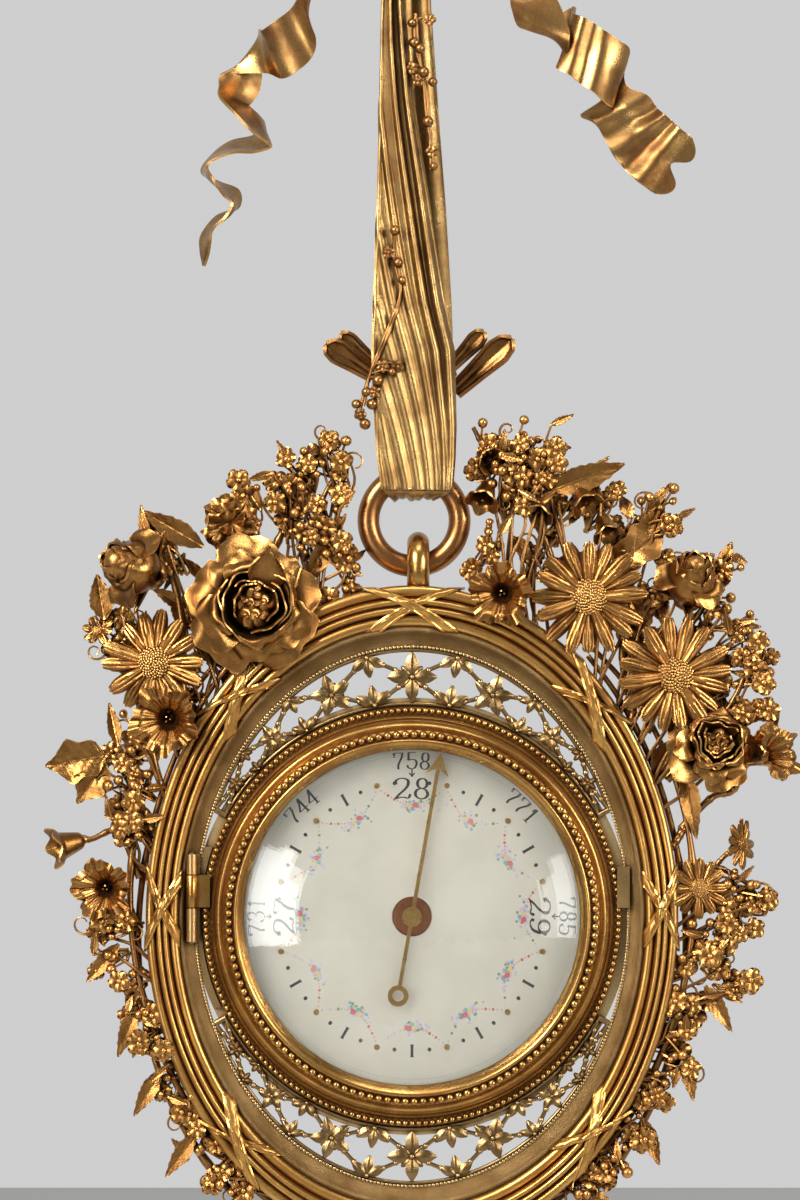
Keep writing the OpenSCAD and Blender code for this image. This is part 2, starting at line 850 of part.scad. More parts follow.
// A carnation in two frilled tiers, seen from the front
module carnation() {
    color(gilt)
        hung()
            put([-51.7, 112.6, 0])
                lobed(8.2, 7, 9, 36, [
                    [0.2, 0, 0], [0.4, 0.45, 0], [0.92, 0.6, 0.08], [0.96, 0.7, 0.08],
                    [0.7, 0.74, 0.06], [0.72, 0.95, 0.1], [0.4, 1, 0.1], [0.25, 0.92, 0]
                ]);
}

// Nodding bells at the left edge and at the upper right
module bellflowers() {
    places = [
        [[-94, 22, 0], 196, 70, 5.4], [[38, 121, 0], 250, 60, 4.4], [[47, 123, 0], 300, 56, 4.4],
        [[54, 115, 0], 290, 60, 4.2], [[22, 124, 0], 250, 50, 4.6], [[19.5, 133, 0], 320, 40, 3.8]
    ];
    color(gilt)
        hung()
            for (p = places) {
                put(p[0], p[1], p[2])
                    bell(p[3], p[3] * 1.7);
            }
}

// Leaves: place, direction on the wall, length and width
module wreath_leaves() {
    places = [
        [[-88, 46, 1], 190, 17, 13], [[-88, 44, 0], 236, 14, 10], [[-88, 85, 0], 100, 13, 7],
        [[-46, 76, 5], 250, 13, 6], [[-30, 96, 1], 60, 22, 6], [[-60, 106, 0], 150, 20, 7],
        [[-84, -8, 1], 230, 14, 5], [[-79, -26, 1], 250, 15, 5], [[-72, -44, 1], 240, 15, 5],
        [[-62, -62, 1], 236, 15, 5], [[-48, -80, 1], 225, 15, 5], [[58, 100, 0], 40, 20, 12],
        [[40, 122, 1], 20, 22, 8], [[66, 108, 0], 60, 13, 6], [[78, 42, 0], 280, 20, 6],
        [[74, 50, 1], 250, 13, 8], [[98, 46, 0], 60, 14, 6], [[86, 92, 0], 70, 16, 7],
        [[84, -20, 0], 300, 15, 5], [[78, -38, 0], 280, 15, 5], [[66, -58, 0], 290, 14, 5],
        [[52, -78, 0], 300, 14, 5], [[30, -94, 0], 330, 14, 5], [[-30, -94, 0], 210, 14, 5]
    ];
    color(old_gilt)
        hung()
            for (p = places) {
                put(p[0], p[1], -8)
                    leaf(p[2], p[3]);
            }
}

// Places of the small blossoms and berries up each side, and in the sprays beside the strap
left_blossoms = [
    [-23.7, 136], [-35, 124], [-29, 118], [-21, 127], [-27, 113], [-19.2, 101], [-23.7, 91],
    [-84, 32], [-80, 24], [-90, -4], [-81, -20], [-74, -37], [-66, -56], [-54, -73]
];
left_berries = [
    [-38.3, 117], [-31, 130], [-18.6, 108], [-30, 108], [-84, 39], [-79, 36], [-80, 30],
    [-85, 26], [-83, -3], [-87, -11], [-78, -28], [-76, -32], [-70, -46], [-60, -66],
    [-48, -80], [-38, -88], [-24, -97], [-10, -99]
];
right_blossoms = [
    [20.9, 134], [30, 128], [36, 131], [28.6, 122], [36, 124], [19.4, 107], [93, 81],
    [98, 71], [99, 59], [98, 3], [93.7, -5], [88, -15], [80, -25], [93, -21],
    [75, -35], [69, -50], [63, -63], [53, -73]
];
right_berries = [
    [25.4, 137], [34, 136], [71, 117], [88, 97], [90, 88], [97, 9], [92, 8], [84, -5],
    [81, -12], [87, -8], [76, -28], [78, -42], [70, -45], [65, -57], [58, -69],
    [48, -80], [38, -88], [24, -97], [10, -99]
];

// Twigs from the moulding's outer edge up to each blossom and berry
module blossom_twigs() {
    color(bronze)
        hung()
            for (p = concat(left_blossoms, left_berries, right_blossoms, right_berries)) {
                foot = oval_at(atan2(p[1], p[0]) - 7.5 * sign(p[0]), reed_half - 1.3, 2.3);
                tube([foot, [p[0], p[1], 2.1]], 0.8, 0.8, 5);
            }
}

module blossoms_left() {
    color(old_gilt)
        hung() {
            for (p = left_blossoms) {
                put([p[0], p[1], 1.6], p[1] * 7)
                    blossom(3.3);
            }
            for (p = left_berries) {
                translate([p[0], p[1], 1.8])
                    sphere(r = 2.2, $fn = 32);
            }
        }
}
module blossoms_right() {
    color(old_gilt)
        hung() {
            for (p = right_blossoms) {
                put([p[0], p[1], 1.6], p[1] * 7)
                    blossom(3.4);
            }
            for (p = right_berries) {
                translate([p[0], p[1], 1.8])
                    sphere(r = p[1] > 110 && p[0] > 60 ? 3.2 : 2.2, $fn = 32);
            }
        }
}

// Places of the cover's screws, on the drum's back rim
module screw_places() {
    for (i = [0:3]) {
        rotate([0, 0, 45 + 90 * i])
            translate([52.4, 0, 0])
                children();
    }
}
screw_head_r = 1.6;
screw_shank_r = 0.9;

// The drum that holds the movement, with a flange in front and a rim at the back
module case_drum() {
    inner = drum_r - drum_wall;
    ledge_r = 47;
    color(brass)
        hung()
            difference() {
                turned([
                    [drum_r, back_z], [drum_r, 0], [flange_r, 0], [flange_r, flange_t],
                    [dial_r + 0.3, flange_t], [dial_r + 0.3, 0], [ledge_r, 0], [ledge_r, -1],
                    [inner, -1], [inner, back_z + 1], [50, back_z + 1], [50, back_z]
                ]);
                screw_places()
                    translate([0, 0, back_z - 1])
                        cylinder(h = 3, r = screw_shank_r + running, $fn = 32);
            }
}

// The plate over the back of the drum, with air holes and the hole of the setting screw
module back_cover() {
    holes = 6;
    color(brass)
        hung()
            difference() {
                translate([0, 0, wall_z])
                    cylinder(h = cover_t, r = drum_r + 1.2, $fn = 120);
                screw_places()
                    translate([0, 0, wall_z - 1])
                        cylinder(h = 3, r = screw_head_r, $fn = 32);
                translate([adjust_x, 0, wall_z - 1])
                    cylinder(h = 3, r = adjust_r + running, $fn = 48);
                for (i = [0:holes - 1]) {
                    rotate([0, 0, 30 + 60 * i])
                        translate([38, 0, wall_z - 1])
                            cylinder(h = 3, r = 2, $fn = 32);
                }
            }
}

module cover_screws() {
    color(steel)
        hung()
            screw_places()
                difference() {
                    union() {
                        translate([0, 0, wall_z])
                            cylinder(h = cover_t, r = screw_head_r, $fn = 32);
                        translate([0, 0, back_z])
                            cylinder(h = 1.4, r = screw_shank_r, $fn = 32);
                    }
                    translate([-2, -0.2, wall_z - 0.1])
                        cube([4, 0.4, 0.6]);
                }
}

// The enamel dial, open in the middle
module dial() {
    hole_r = 5.7;
    color("ivory")
        hung()
            difference() {
                cylinder(h = 1.2, r = dial_r, $fn = 120);
                translate([0, 0, -1])
                    cylinder(h = 4, r = hole_r, $fn = 64);
            }
}

// Twelve gilt studs on the dial
module dial_studs() {
    color(gilt)
        hung()
            for (i = [0:11]) {
                rotate([0, 0, 15 + 30 * i])
                    translate([38.6, 0, 1.2])
                        cylinder(h = 0.5, r = 0.8, $fn = 24);
            }
}

// The copper disc in the dial's opening
module dial_boss() {
    color("chocolate")
        hung()
            difference() {
                union() {
                    translate([0, 0, -0.9])
                        cylinder(h = 1.6, r = 5.6, $fn = 64);
                    translate([0, 0, 0.7])
                        cylinder(h = 0.7, r = 2.4, $fn = 48);
                }
                translate([0, 0, -2])
                    cylinder(h = 5, r = arbor_r + running, $fn = 48);
            }
}

// The movement
arbor_r = 0.8;
pulley_r = 2.4;
arbor_foot = -5.4;
post_y = 38;
adjust_x = 28;
adjust_r = 2.4;
rocker_x = -30;
rocker_z = -13;
rocker_ends = [-9, 27];
lever_pivot_x = 34;
lever_z = -7;

// The plate that carries the movement
module base_plate() {
    color(brass)
        hung()
            difference() {
                translate([0, 0, plate_z])
                    cylinder(h = plate_t, r = 53.4, $fn = 120);
                translate([adjust_x, 0, plate_z - 1])
                    cylinder(h = 4, r = adjust_r + running, $fn = 48);
            }
}

// Three pillars from the plate to the drum's ledge
module movement_pillars() {
    color(brass)
        hung()
            for (i = [0:2]) {
                rotate([0, 0, 30 + 120 * i])
                    translate([50.6, 0, capsule_z])
                        cylinder(h = -1 - capsule_z, r = 2, $fn = 32);
            }
}

// The sealed capsule, corrugated, with a post that lifts the spring
module aneroid_capsule() {
    height = 6.6;
    color(steel)
        hung()
            turned([
                [0, capsule_z], [17, capsule_z], [20, capsule_z + 1], [20, capsule_z + height - 1],
                [17, capsule_z + height], [15, capsule_z + height - 0.8], [13, capsule_z + height],
                [11, capsule_z + height - 0.8], [9, capsule_z + height], [7, capsule_z + height - 0.8],
                [5, capsule_z + height], [2.4, capsule_z + height], [2.4, lever_z - 1.2], [0, lever_z - 1.2]
            ]);
}

// The block on the plate that holds the spring's lower end
module spring_bridge() {
    color(brass)
        hung()
            translate([22.5, -9, capsule_z])
                cube([13, 18, 2.8]);
}

// The broad leaf spring, bent back over the capsule
module main_spring() {
    leaf_t = 1.2;
    low_z = capsule_z + 2.8;
    bend_r = (lever_z - low_z) / 2;
    color("slategray")
        hung()
            translate([0, 8, 0])
                rotate([90, 0, 0])
                    linear_extrude(16)
                        union() {
                            translate([-22, lever_z - leaf_t])
                                square([lever_pivot_x + 22, leaf_t]);
                            translate([24, low_z])
                                square([lever_pivot_x - 24, leaf_t]);
                            translate([lever_pivot_x, low_z + bend_r])
                                difference() {
                                    circle(r = bend_r, $fn = 64);
                                    circle(r = bend_r - leaf_t, $fn = 64);
                                    translate([-2 * bend_r, -bend_r - 1])
                                        square([2 * bend_r, 2 * bend_r + 2]);
                                }
                        }
}

// The bridge under the dial that carries the hand's arbor, on two posts
module arbor_bridge() {
    color(brass)
        hung() {
            difference() {
                translate([-4, -post_y - 4, -2.4])
                    cube([8, 2 * post_y + 8, 1.2]);
                translate([0, 0, -3])
                    cylinder(h = 3, r = arbor_r + running, $fn = 48);
            }
            for (way = [-1, 1]) {
                translate([0, way * post_y, capsule_z])
                    cylinder(h = -2.4 - capsule_z, r = 2, $fn = 32);
            }
        }
}

// Two posts that hold the rocker's pivots
module rocker_cocks() {
    color(brass)
        hung()
            for (y = rocker_ends) {
                difference() {
                    translate([rocker_x - 2.5, y - 1, capsule_z])
                        cube([5, 2, rocker_z + 2 - capsule_z]);
                    translate([rocker_x, y + 2, rocker_z])
                        rotate([90, 0, 0])
                            cylinder(h = 4, r = arbor_r + running, $fn = 48);
                }
            }
}

// A flat spiral that takes up the chain's slack
module hairspring() {
    turns = 4;
    path = [
        for (i = [0:12 * turns])
            let(a = 30 * i, r = 2.8 + 5 * i / (12 * turns))
            [r * cos(a), r * sin(a), -2.85]
    ];
    color(steel)
        hung()
            tube(path, 0.16, 1, 4);
}

// The fine chain from the rocker to the hand's arbor
module chain() {
    color(steel)
        hung()
            tube([[-0.5, pulley_r + 0.45, -3.9], [-15, 3.4, -3.9], [rocker_x + 1.4, 3.8, -3.9]], 0.35, 1, 6);
}

// The gilt door ring, with a bead round its rim and another beside the glass
module bezel() {
    low = flange_t + door_gap;
    color(gilt)
        hung() {
            rotate_extrude($fn = 120)
                union() {
                    polygon([
                        [bezel_r, low], [bezel_r, 2.7], [57.6, 3.1], [57.2, 4.4], [56.2, 4.6],
                        [54.6, 5], [53.6, 7.6], [53.5, 8.2], [51.1, 9], [50.8, 10], [50, 10],
                        [47.9, 7.8], [47.9, 6.7], [50.4, 6.7], [50.4, 3.4], [52.4, 3], [53.4, low]
                    ]);
                    translate([bezel_r - 0.95, 2.9])
                        circle(r = 0.9, $fn = 32);
                    translate([52.3, 8.7])
                        circle(r = 1.2, $fn = 32);
                }
            knuckle(barrel_y[1], barrel_y[2], pin_r + running);
            difference() {
                translate([hinge_x + 1, barrel_y[1], 3])
                    cube([4, barrel_y[2] - barrel_y[1], 1.8]);
                translate([hinge_x, barrel_y[1] - 1, hinge_z])
                    rotate([-90, 0, 0])
                        cylinder(h = 20, r = knuckle_r - 0.2, $fn = 48);
            }
        }
}

// The domed glass
module crystal_glass() {
    rim_z = 4.9;
    rim_top = 6.6;
    glass_t = 1.6;
    dome_r = 47.6;
    steps = 10;
    function dome(r) = rim_top + glass_rise * (1 - pow(r / dome_r, 2));
    color("lightcyan", 0.35)
        hung()
            turned(concat(
                [for (i = [0:steps]) [dome_r * i / steps, dome(dome_r * i / steps)]],
                [[50.2, rim_top], [50.2, rim_z], [46, rim_z]],
                [for (i = [0:steps]) let(r = 46 * (1 - i / steps)) [r, max(rim_z, dome(r) - glass_t)]]
            ));
}

// The ring that holds the glass from behind
module glass_retainer() {
    color(brass)
        hung()
            turned([[48, 3.5], [50.35, 3.5], [50.35, 4.9], [48, 4.9]]);
}

// The thumb tab at the right of the door
module door_catch() {
    color(gilt)
        hung()
            translate([58.6, 2.6, 3.2])
                cube([3.6, 11.8, 0.9]);
}

// The hand: an arrow at one end, a ring at the other
module pressure_hand() {
    stem_w = 1.1;
    tip_l = 6.3;
    tail_y = -22.8;
    color(gilt)
        hung()
            rotate([0, 0, -hand_rest])
                translate([0, 0, 3.2])
                    difference() {
                        union() {
                            translate([-stem_w / 2, tail_y + 2, 0])
                                cube([stem_w, hand_r - tip_l - tail_y, 0.7]);
                            linear_extrude(0.7)
                                polygon([[0, hand_r], [3.4, hand_r - tip_l], [0, hand_r - tip_l + 2.2],
                                         [-3.4, hand_r - tip_l]]);
                            cylinder(h = 1, r = 2.8, $fn = 48);
                            translate([0, tail_y, 0])
                                cylinder(h = 0.7, r = 3, $fn = 48);
                        }
                        translate([0, 0, -1])
                            cylinder(h = 4, r = 1.2, $fn = 32);
                        translate([0, tail_y, -1])
                            cylinder(h = 4, r = 1.65, $fn = 48);
                    }
}

// The arbor that turns the hand, with the pulley that the chain pulls
module hand_arbor() {
    color(steel)
        hung() {
            translate([0, 0, arbor_foot])
                cylinder(h = 9.8, r = arbor_r, $fn = 48);
            translate([0, 0, 3.2])
                cylinder(h = 1.4, r = 1.2, $fn = 32);
            translate([0, 0, -4.6])
                cylinder(h = 1.4, r = pulley_r, $fn = 48);
        }
}

// The cross shaft, with a short arm under the lever and a long one to the chain
module rocker() {
    arm_t = 1.2;
    color(brass)
        hung() {
            translate([rocker_x, rocker_ends[1] + 0.8, rocker_z])
                rotate([90, 0, 0])
                    cylinder(h = rocker_ends[1] - rocker_ends[0] + 1.6, r = arbor_r, $fn = 48);
            translate([rocker_x - 1, 3.2, rocker_z])
                cube([2, arm_t, 9.6]);
            translate([rocker_x - 8, -6, rocker_z - 0.5])
                cube([8, arm_t, 1]);
        }
}

// The lever on the spring, whose far end works the rocker
module main_lever() {
    color(brass)
        hung() {
            translate([-40, -8, lever_z])
                cube([34, 4.5, 1]);
            translate([rocker_x - 7, -5.4, lever_z - 1.2])
                cylinder(h = 1.6, r = 0.6, $fn = 32);
        }
}

// The slotted setting screw in the back
module adjust_screw() {
    color(steel)
        hung()
            translate([adjust_x, 0, wall_z])
                difference() {
                    cylinder(h = 3.4, r = adjust_r, $fn = 48);
                    translate([-3, -0.35, -0.1])
                        cube([6, 0.7, 1]);
                }
}

hanger_plate();
bow_knot();
bow_loop_left();
bow_loop_right();
ribbon_tail_left();
ribbon_tail_right();
hanging_strap();
cut_stems();
strap_sprig();
suspension_ring();
bail();
reeded_frame();
ribbon_ties();
inner_band();
fret_upper();
fret_lower();
hinge_plate();
hinge_pin();
wreath_stems_left();
wreath_stems_right();
large_rose();
side_rose();
rosebuds();
daisy_left();
daisies_right();
small_daisies();
trumpet_flowers();
carnation();
bellflowers();
wreath_leaves();
blossom_twigs();
blossoms_left();
blossoms_right();
case_drum();
back_cover();
cover_screws();
dial();
dial_studs();
dial_boss();
base_plate();
movement_pillars();
aneroid_capsule();
spring_bridge();
main_spring();
arbor_bridge();
rocker_cocks();
hairspring();
chain();
bezel();
crystal_glass();
glass_retainer();
door_catch();
pressure_hand();
hand_arbor();
rocker();
main_lever();
adjust_screw();
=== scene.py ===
import json
import math
import random
from functools import lru_cache

import bpy
import numpy as np
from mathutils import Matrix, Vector

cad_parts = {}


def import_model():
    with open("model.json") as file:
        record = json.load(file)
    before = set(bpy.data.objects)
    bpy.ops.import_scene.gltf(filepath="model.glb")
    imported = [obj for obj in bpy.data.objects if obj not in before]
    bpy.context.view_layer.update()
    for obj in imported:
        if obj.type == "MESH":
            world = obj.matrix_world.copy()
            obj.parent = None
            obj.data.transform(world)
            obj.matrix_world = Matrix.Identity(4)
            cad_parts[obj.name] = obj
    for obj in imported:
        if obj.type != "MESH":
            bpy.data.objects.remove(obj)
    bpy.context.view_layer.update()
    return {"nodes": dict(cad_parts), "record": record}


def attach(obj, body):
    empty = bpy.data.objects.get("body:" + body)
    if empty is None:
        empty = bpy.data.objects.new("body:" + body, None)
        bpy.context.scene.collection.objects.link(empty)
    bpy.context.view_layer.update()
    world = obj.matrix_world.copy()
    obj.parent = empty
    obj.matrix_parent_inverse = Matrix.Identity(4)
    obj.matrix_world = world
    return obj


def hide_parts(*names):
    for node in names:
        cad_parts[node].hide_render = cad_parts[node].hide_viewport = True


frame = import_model()

# Lengths are in millimetres, measured from the middle of the dial:
# x to the right, y up the wall, z towards the viewer.
NAIL_Y = 296
FRONT = 20.5

# The moulding's middle line: a circle, stretched into the oval
ROUND_R = 80
STRETCH_X = 71.4 / ROUND_R
STRETCH_Y = 88.9 / ROUND_R

# The middle of the suspension ring
RING_X = 0.6
RING_Y = 113.4
RING_Z = -3.5

# The scale of the picture, its size, and where it shows the middle of the dial
PIXELS_PER_MM = 3.5
PICTURE_SIZE = (800, 1200)
DIAL_PIXEL = (412, 917)

FULL_TURN = 2 * math.pi
GOLDEN_ANGLE = math.pi * (3 - math.sqrt(5))
SHARP_EDGE = math.radians(50)


def world(points):
    """Points in millimetres from the dial, as points of the frame in metres."""
    p = np.asarray(points, dtype=float).reshape(-1, 3)
    return np.stack([p[:, 0], -p[:, 2] - FRONT, p[:, 1] - NAIL_Y], axis=1) / 1000


def unit(v):
    return v / np.maximum(np.linalg.norm(v, axis=-1, keepdims=True), 1e-9)


def spin(turn):
    """The matrix that turns points about z by an angle in degrees."""
    t = math.radians(turn)
    return np.array([[math.cos(t), -math.sin(t), 0], [math.sin(t), math.cos(t), 0], [0, 0, 1]])


def turned_grid(grid, turn, rise=0.0):
    """The grid turned about z by degrees and raised."""
    return grid @ spin(turn).T + (0, 0, rise)


def axes(rows, cols):
    """The share along a sheet, from 0 to 1, and the place across it, from -1 to 1."""
    return np.linspace(0, 1, rows)[:, None], np.linspace(-1, 1, cols)[None, :]


def evenly_round(count):
    """Angles in radians, evenly spread over a full turn."""
    return np.linspace(0, FULL_TURN, count, endpoint=False)


def grid_of(x, y, z):
    """A point, a row of points or a grid of them, from their x, y and z."""
    return np.stack(np.broadcast_arrays(x, y, z), axis=-1)


def around(radius, angle, z):
    """Points by their radius and their angle about z in radians."""
    return grid_of(radius * np.cos(angle), radius * np.sin(angle), z)


def clockwise(radius, angle, z):
    """Points by their radius and their angle in degrees, clockwise from the top."""
    return around(radius, np.radians(90 - angle), z)


def mix(a, b, t):
    return a + (b - a) * t


def smooth_step(low, high, x):
    """0 up to low and 1 from high on, with an even bend between."""
    t = np.clip((x - low) / (high - low), 0, 1)
    return t * t * (3 - 2 * t)


def oval_at(angle, out, z=0.0):
    """A point of the oval, beyond the moulding's middle line by out."""
    half_w = STRETCH_X * (ROUND_R + out)
    half_h = STRETCH_Y * (ROUND_R + out)
    a = np.radians(angle)
    return around(half_w * half_h / np.hypot(half_h * np.cos(a), half_w * np.sin(a)), a, z)


def spline(points, count):
    """A smooth curve through the points, as count points evenly spread over them."""
    p = np.asarray(points, dtype=float)
    p = np.vstack([2 * p[0] - p[1], p, 2 * p[-1] - p[-2]])
    t = np.linspace(0, len(p) - 3, count)
    i = np.minimum(t.astype(int), len(p) - 4)
    f = (t - i)[:, None]
    a, b, c, d = p[i], p[i + 1], p[i + 2], p[i + 3]
    bend = (2 * a - 5 * b + 4 * c - d) * f**2 + (3 * b - a - 3 * c + d) * f**3
    return 0.5 * (2 * b + (c - a) * f + bend)


@lru_cache(maxsize=None)
def grid_faces(rows, cols, round_cols=False, round_rows=False):
    """The faces between rows of points, closed across or along where the last meets the first."""
    faces = []
    for r in range(rows if round_rows else rows - 1):
        for c in range(cols if round_cols else cols - 1):
            k = (c + 1) % cols
            n = (r + 1) % rows
            faces.append((r * cols + c, r * cols + k, n * cols + k, n * cols + c))
    return faces


class Form:
    """Points and faces gathered for one mesh; each part is added where the form now stands."""

    def __init__(self):
        self.points = []
        self.faces = []
        self.paints = []
        self.size = 0
        self.stand()

    def stand(self, place=(0, 0, 0), turn=0, lean=0):
        """Later pieces are leant back, turned on the wall and moved to the place."""
        t = math.radians(lean)
        about_y = np.array([[math.cos(t), 0, math.sin(t)], [0, 1, 0], [-math.sin(t), 0, math.cos(t)]])
        self.rotation = spin(turn) @ about_y
        self.place = np.asarray(place, dtype=float)

    def add(self, points, faces, paint=0):
        """Points and the faces between them; paint picks one of the piece's materials."""
        p = np.asarray(points, dtype=float).reshape(-1, 3) @ self.rotation.T + self.place
        self.points.append(p)
        start = self.size
        self.faces.extend(tuple(i + start for i in f) for f in faces)
        self.paints.extend([paint] * len(faces))
        self.size += len(p)


def near_edges(grid):
    """The grid with one more row close to its first and last, so that rubbed wear and the painted
    highlight on the rims show as a thin line.
    """
    first, last = mix(grid[:1], grid[1:2], 0.25), mix(grid[-1:], grid[-2:-1], 0.25)
    return np.concatenate([grid[:1], first, grid[1:-1], last, grid[-1:]])


def add_sheet(form, middle, thick):
    """A thin solid whose middle is a grid of points, rows by columns."""
    middle = near_edges(near_edges(middle).swapaxes(0, 1)).swapaxes(0, 1)
    rows, cols = middle.shape[:2]
    normal = unit(np.cross(np.gradient(middle, axis=1), np.gradient(middle, axis=0)))
    front = (middle + normal * thick / 2).reshape(-1, 3)
    back = (middle - normal * thick / 2).reshape(-1, 3)
    count = rows * cols
    faces = list(grid_faces(rows, cols))
    faces += [tuple(reversed([i + count for i in f])) for f in grid_faces(rows, cols)]
    rim = list(range(cols))
    rim += [r * cols + cols - 1 for r in range(1, rows)]
    rim += [(rows - 1) * cols + c for c in range(cols - 2, -1, -1)]
    rim += [r * cols for r in range(rows - 2, 0, -1)]
    for a, b in zip(rim, rim[1:] + rim[:1]):
        faces.append((a, a + count, b + count, b))
    form.add(np.vstack([front, back]), faces)


def sheet_form(middle, thick):
    form = Form()
    add_sheet(form, middle, thick)
    return form


def add_rings(form, points):
    """Rings of points joined into a closed body, with a cap at each end."""
    rings, sides = points.shape[:2]
    last = (rings - 1) * sides
    faces = list(grid_faces(rings, sides, True))
    faces.append(tuple(reversed(range(sides))))
    faces.append(tuple(last + i for i in range(sides)))
    form.add(points, faces)


def add_tube(form, path, radius, sides=8):
    """A round tube along a path; the radius is one number or one for each point."""
    p = np.asarray(path, dtype=float)
    a = evenly_round(sides)[:, None]
    way = unit(np.gradient(p, axis=0))
    radii = np.broadcast_to(radius, (len(p),))
    side = np.cross(way[0], (0.05, 0.1, 1.0))
    points = []
    for i in range(len(p)):
        side = side - way[i] * side.dot(way[i])
        side = side / max(np.linalg.norm(side), 1e-9)
        up = np.cross(way[i], side)
        points.append(p[i] + radii[i] * (np.cos(a) * side + np.sin(a) * up))
    add_rings(form, np.array(points))


def add_turned(form, profile, steps):
    """A closed profile of (radius, z), anticlockwise, turned about z."""
    rows = [around(r, evenly_round(steps), z) for r, z in profile]
    form.add(np.vstack(rows), grid_faces(len(profile), steps, True, True))


def add_ball(form, at, radius, sides=10, tall=1.0, paint=0):
    """A ball, or with tall another number, a flattened or a drawn-out one."""
    rings = max(3, sides // 2)
    points = [np.array([[0, 0, -tall]])]
    for k in range(1, rings):
        b = math.pi * (k / rings - 0.5)
        points.append(around(math.cos(b), evenly_round(sides), math.sin(b) * tall))
    points.append(np.array([[0, 0, tall]]))
    faces = [(0, 1 + (i + 1) % sides, 1 + i) for i in range(sides)]
    faces += [tuple(1 + i for i in f) for f in grid_faces(rings - 1, sides, True)]
    last = 1 + (rings - 1) * sides
    top = last - sides
    faces += [(top + i, top + (i + 1) % sides, last) for i in range(sides)]
    form.add(np.vstack(points) * radius + np.asarray(at, dtype=float), faces, paint)


def put(name, data):
    """A new object of the scene with the data."""
    made = bpy.data.objects.new(name, data)
    bpy.context.scene.collection.objects.link(made)
    return made


def piece(name, form, materials, body, replaces=()):
    """The form as an object that rides on a body and may stand for nodes."""
    mesh = bpy.data.meshes.new(name)
    mesh.from_pydata(world(np.vstack(form.points)).tolist(), [], form.faces)
    mesh.update()
    mesh.polygons.foreach_set("use_smooth", [True] * len(mesh.polygons))
    mesh.polygons.foreach_set("material_index", form.paints)
    mesh.set_sharp_from_angle(angle=SHARP_EDGE)
    for material in materials:
        mesh.materials.append(material)
    made = put(name, mesh)
    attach(made, body)
    if replaces:
        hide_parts(*replaces)


# Materials

HOLLOW_SAMPLES = 6
TINY_PITS = 0.0002


def nodes_of(name):
    """A new material, its node tree and its shader."""
    material = bpy.data.materials.new(name)
    material.use_nodes = True
    tree = material.node_tree
    return material, tree, tree.nodes["Principled BSDF"]


def noise(tree, scale, detail, roughness=0.6):
    coords = tree.nodes.new("ShaderNodeTexCoord")
    texture = tree.nodes.new("ShaderNodeTexNoise")
    texture.inputs["Scale"].default_value = scale
    texture.inputs["Detail"].default_value = detail
    texture.inputs["Roughness"].default_value = roughness
    tree.links.new(coords.outputs["Object"], texture.inputs["Vector"])
    return texture.outputs["Fac"]


def ramp(tree, value, stops):
    """A colour from a value, by stops of (position, colour)."""
    made = tree.nodes.new("ShaderNodeValToRGB")
    line = made.color_ramp
    while len(line.elements) < len(stops):
        line.elements.new(0.5)
    for element, (position, colour) in zip(line.elements, stops):
        element.position = position
        element.color = (*colour, 1)
    tree.links.new(value, made.inputs["Fac"])
    return made.outputs["Color"]


def grey(value):
    return (value, value, value)


def blend(tree, factor, a, b, mode="MIX"):
    """The colours a and b blended; each input may be a socket, a colour or a number."""
    made = tree.nodes.new("ShaderNodeMix")
    made.data_type = "RGBA"
    made.blend_type = mode
    for socket, value in ((made.inputs[0], factor), (made.inputs[6], a), (made.inputs[7], b)):
        if isinstance(value, bpy.types.NodeSocket):
            tree.links.new(value, socket)
        elif isinstance(value, tuple):
            socket.default_value = (*value, 1)
        else:
            socket.default_value = value
    return made.outputs[2]


def bump(tree, shader, height, strength, distance):
    made = tree.nodes.new("ShaderNodeBump")
    made.inputs["Strength"].default_value = strength
    made.inputs["Distance"].default_value = distance
    tree.links.new(height, made.inputs["Height"])
    tree.links.new(made.outputs["Normal"], shader.inputs["Normal"])


def hollow(tree, reach, low, high):
    """0 where a place is open by less than low within reach, and 1 from high on."""
    made = tree.nodes.new("ShaderNodeAmbientOcclusion")
    made.samples = HOLLOW_SAMPLES
    made.inputs["Distance"].default_value = reach
    return ramp(tree, made.outputs["AO"], [(low, grey(0)), (high, grey(1))])


def metal(name, tones, shine, grain=2600, pits=0.12, recess=(0.0025, 0.4, 0.9), rims=0.0):
    """Metal by its bright, middle and dark tones, with the dark one painted into the recesses as patina
    and painted shade.
    shine is the least and the most roughness; recess is the reach in metres that is looked at
    for a recess, and the openness where the patina and painted shade are full and where they end; rims
    is how much the rims are rubbed bright, as wear and as a painted highlight."""
    bright, middle, dark = tones
    material, tree, shader = nodes_of(name)
    shader.inputs["Metallic"].default_value = 1
    patches = noise(tree, 90, 5)
    fine = noise(tree, grain, 3, 0.7)
    tone = blend(tree, ramp(tree, patches, [(0.36, grey(0)), (0.66, grey(1))]), middle, bright)
    speck = blend(tree, ramp(tree, fine, [(0.4, grey(0)), (0.7, grey(1))]), grey(0.82), grey(1.1))
    tone = blend(tree, 1.0, tone, speck, "MULTIPLY")
    # Painted highlight and rubbed wear: convex rims and tips get a colour brighter than the bright tone
    if rims:
        shape = tree.nodes.new("ShaderNodeNewGeometry")
        rim_wear_and_highlight = ramp(tree, shape.outputs["Pointiness"], [(0.53, grey(0)), (0.62, grey(rims))])
        tone = blend(tree, rim_wear_and_highlight, tone, tuple(1.6 * c for c in bright))
    # Painted shade and patina: the dark tone is blended in where the surface is enclosed within the
    # reach, and there the metal is rougher
    free_of_shade_and_patina = hollow(tree, *recess)
    tree.links.new(blend(tree, free_of_shade_and_patina, dark, tone), shader.inputs["Base Color"])
    rough = ramp(tree, patches, [(0.3, grey(shine[1])), (0.7, grey(shine[0]))])
    tree.links.new(blend(tree, free_of_shade_and_patina, grey(0.7), rough), shader.inputs["Roughness"])
    bump(tree, shader, fine, pits, TINY_PITS)
    return material
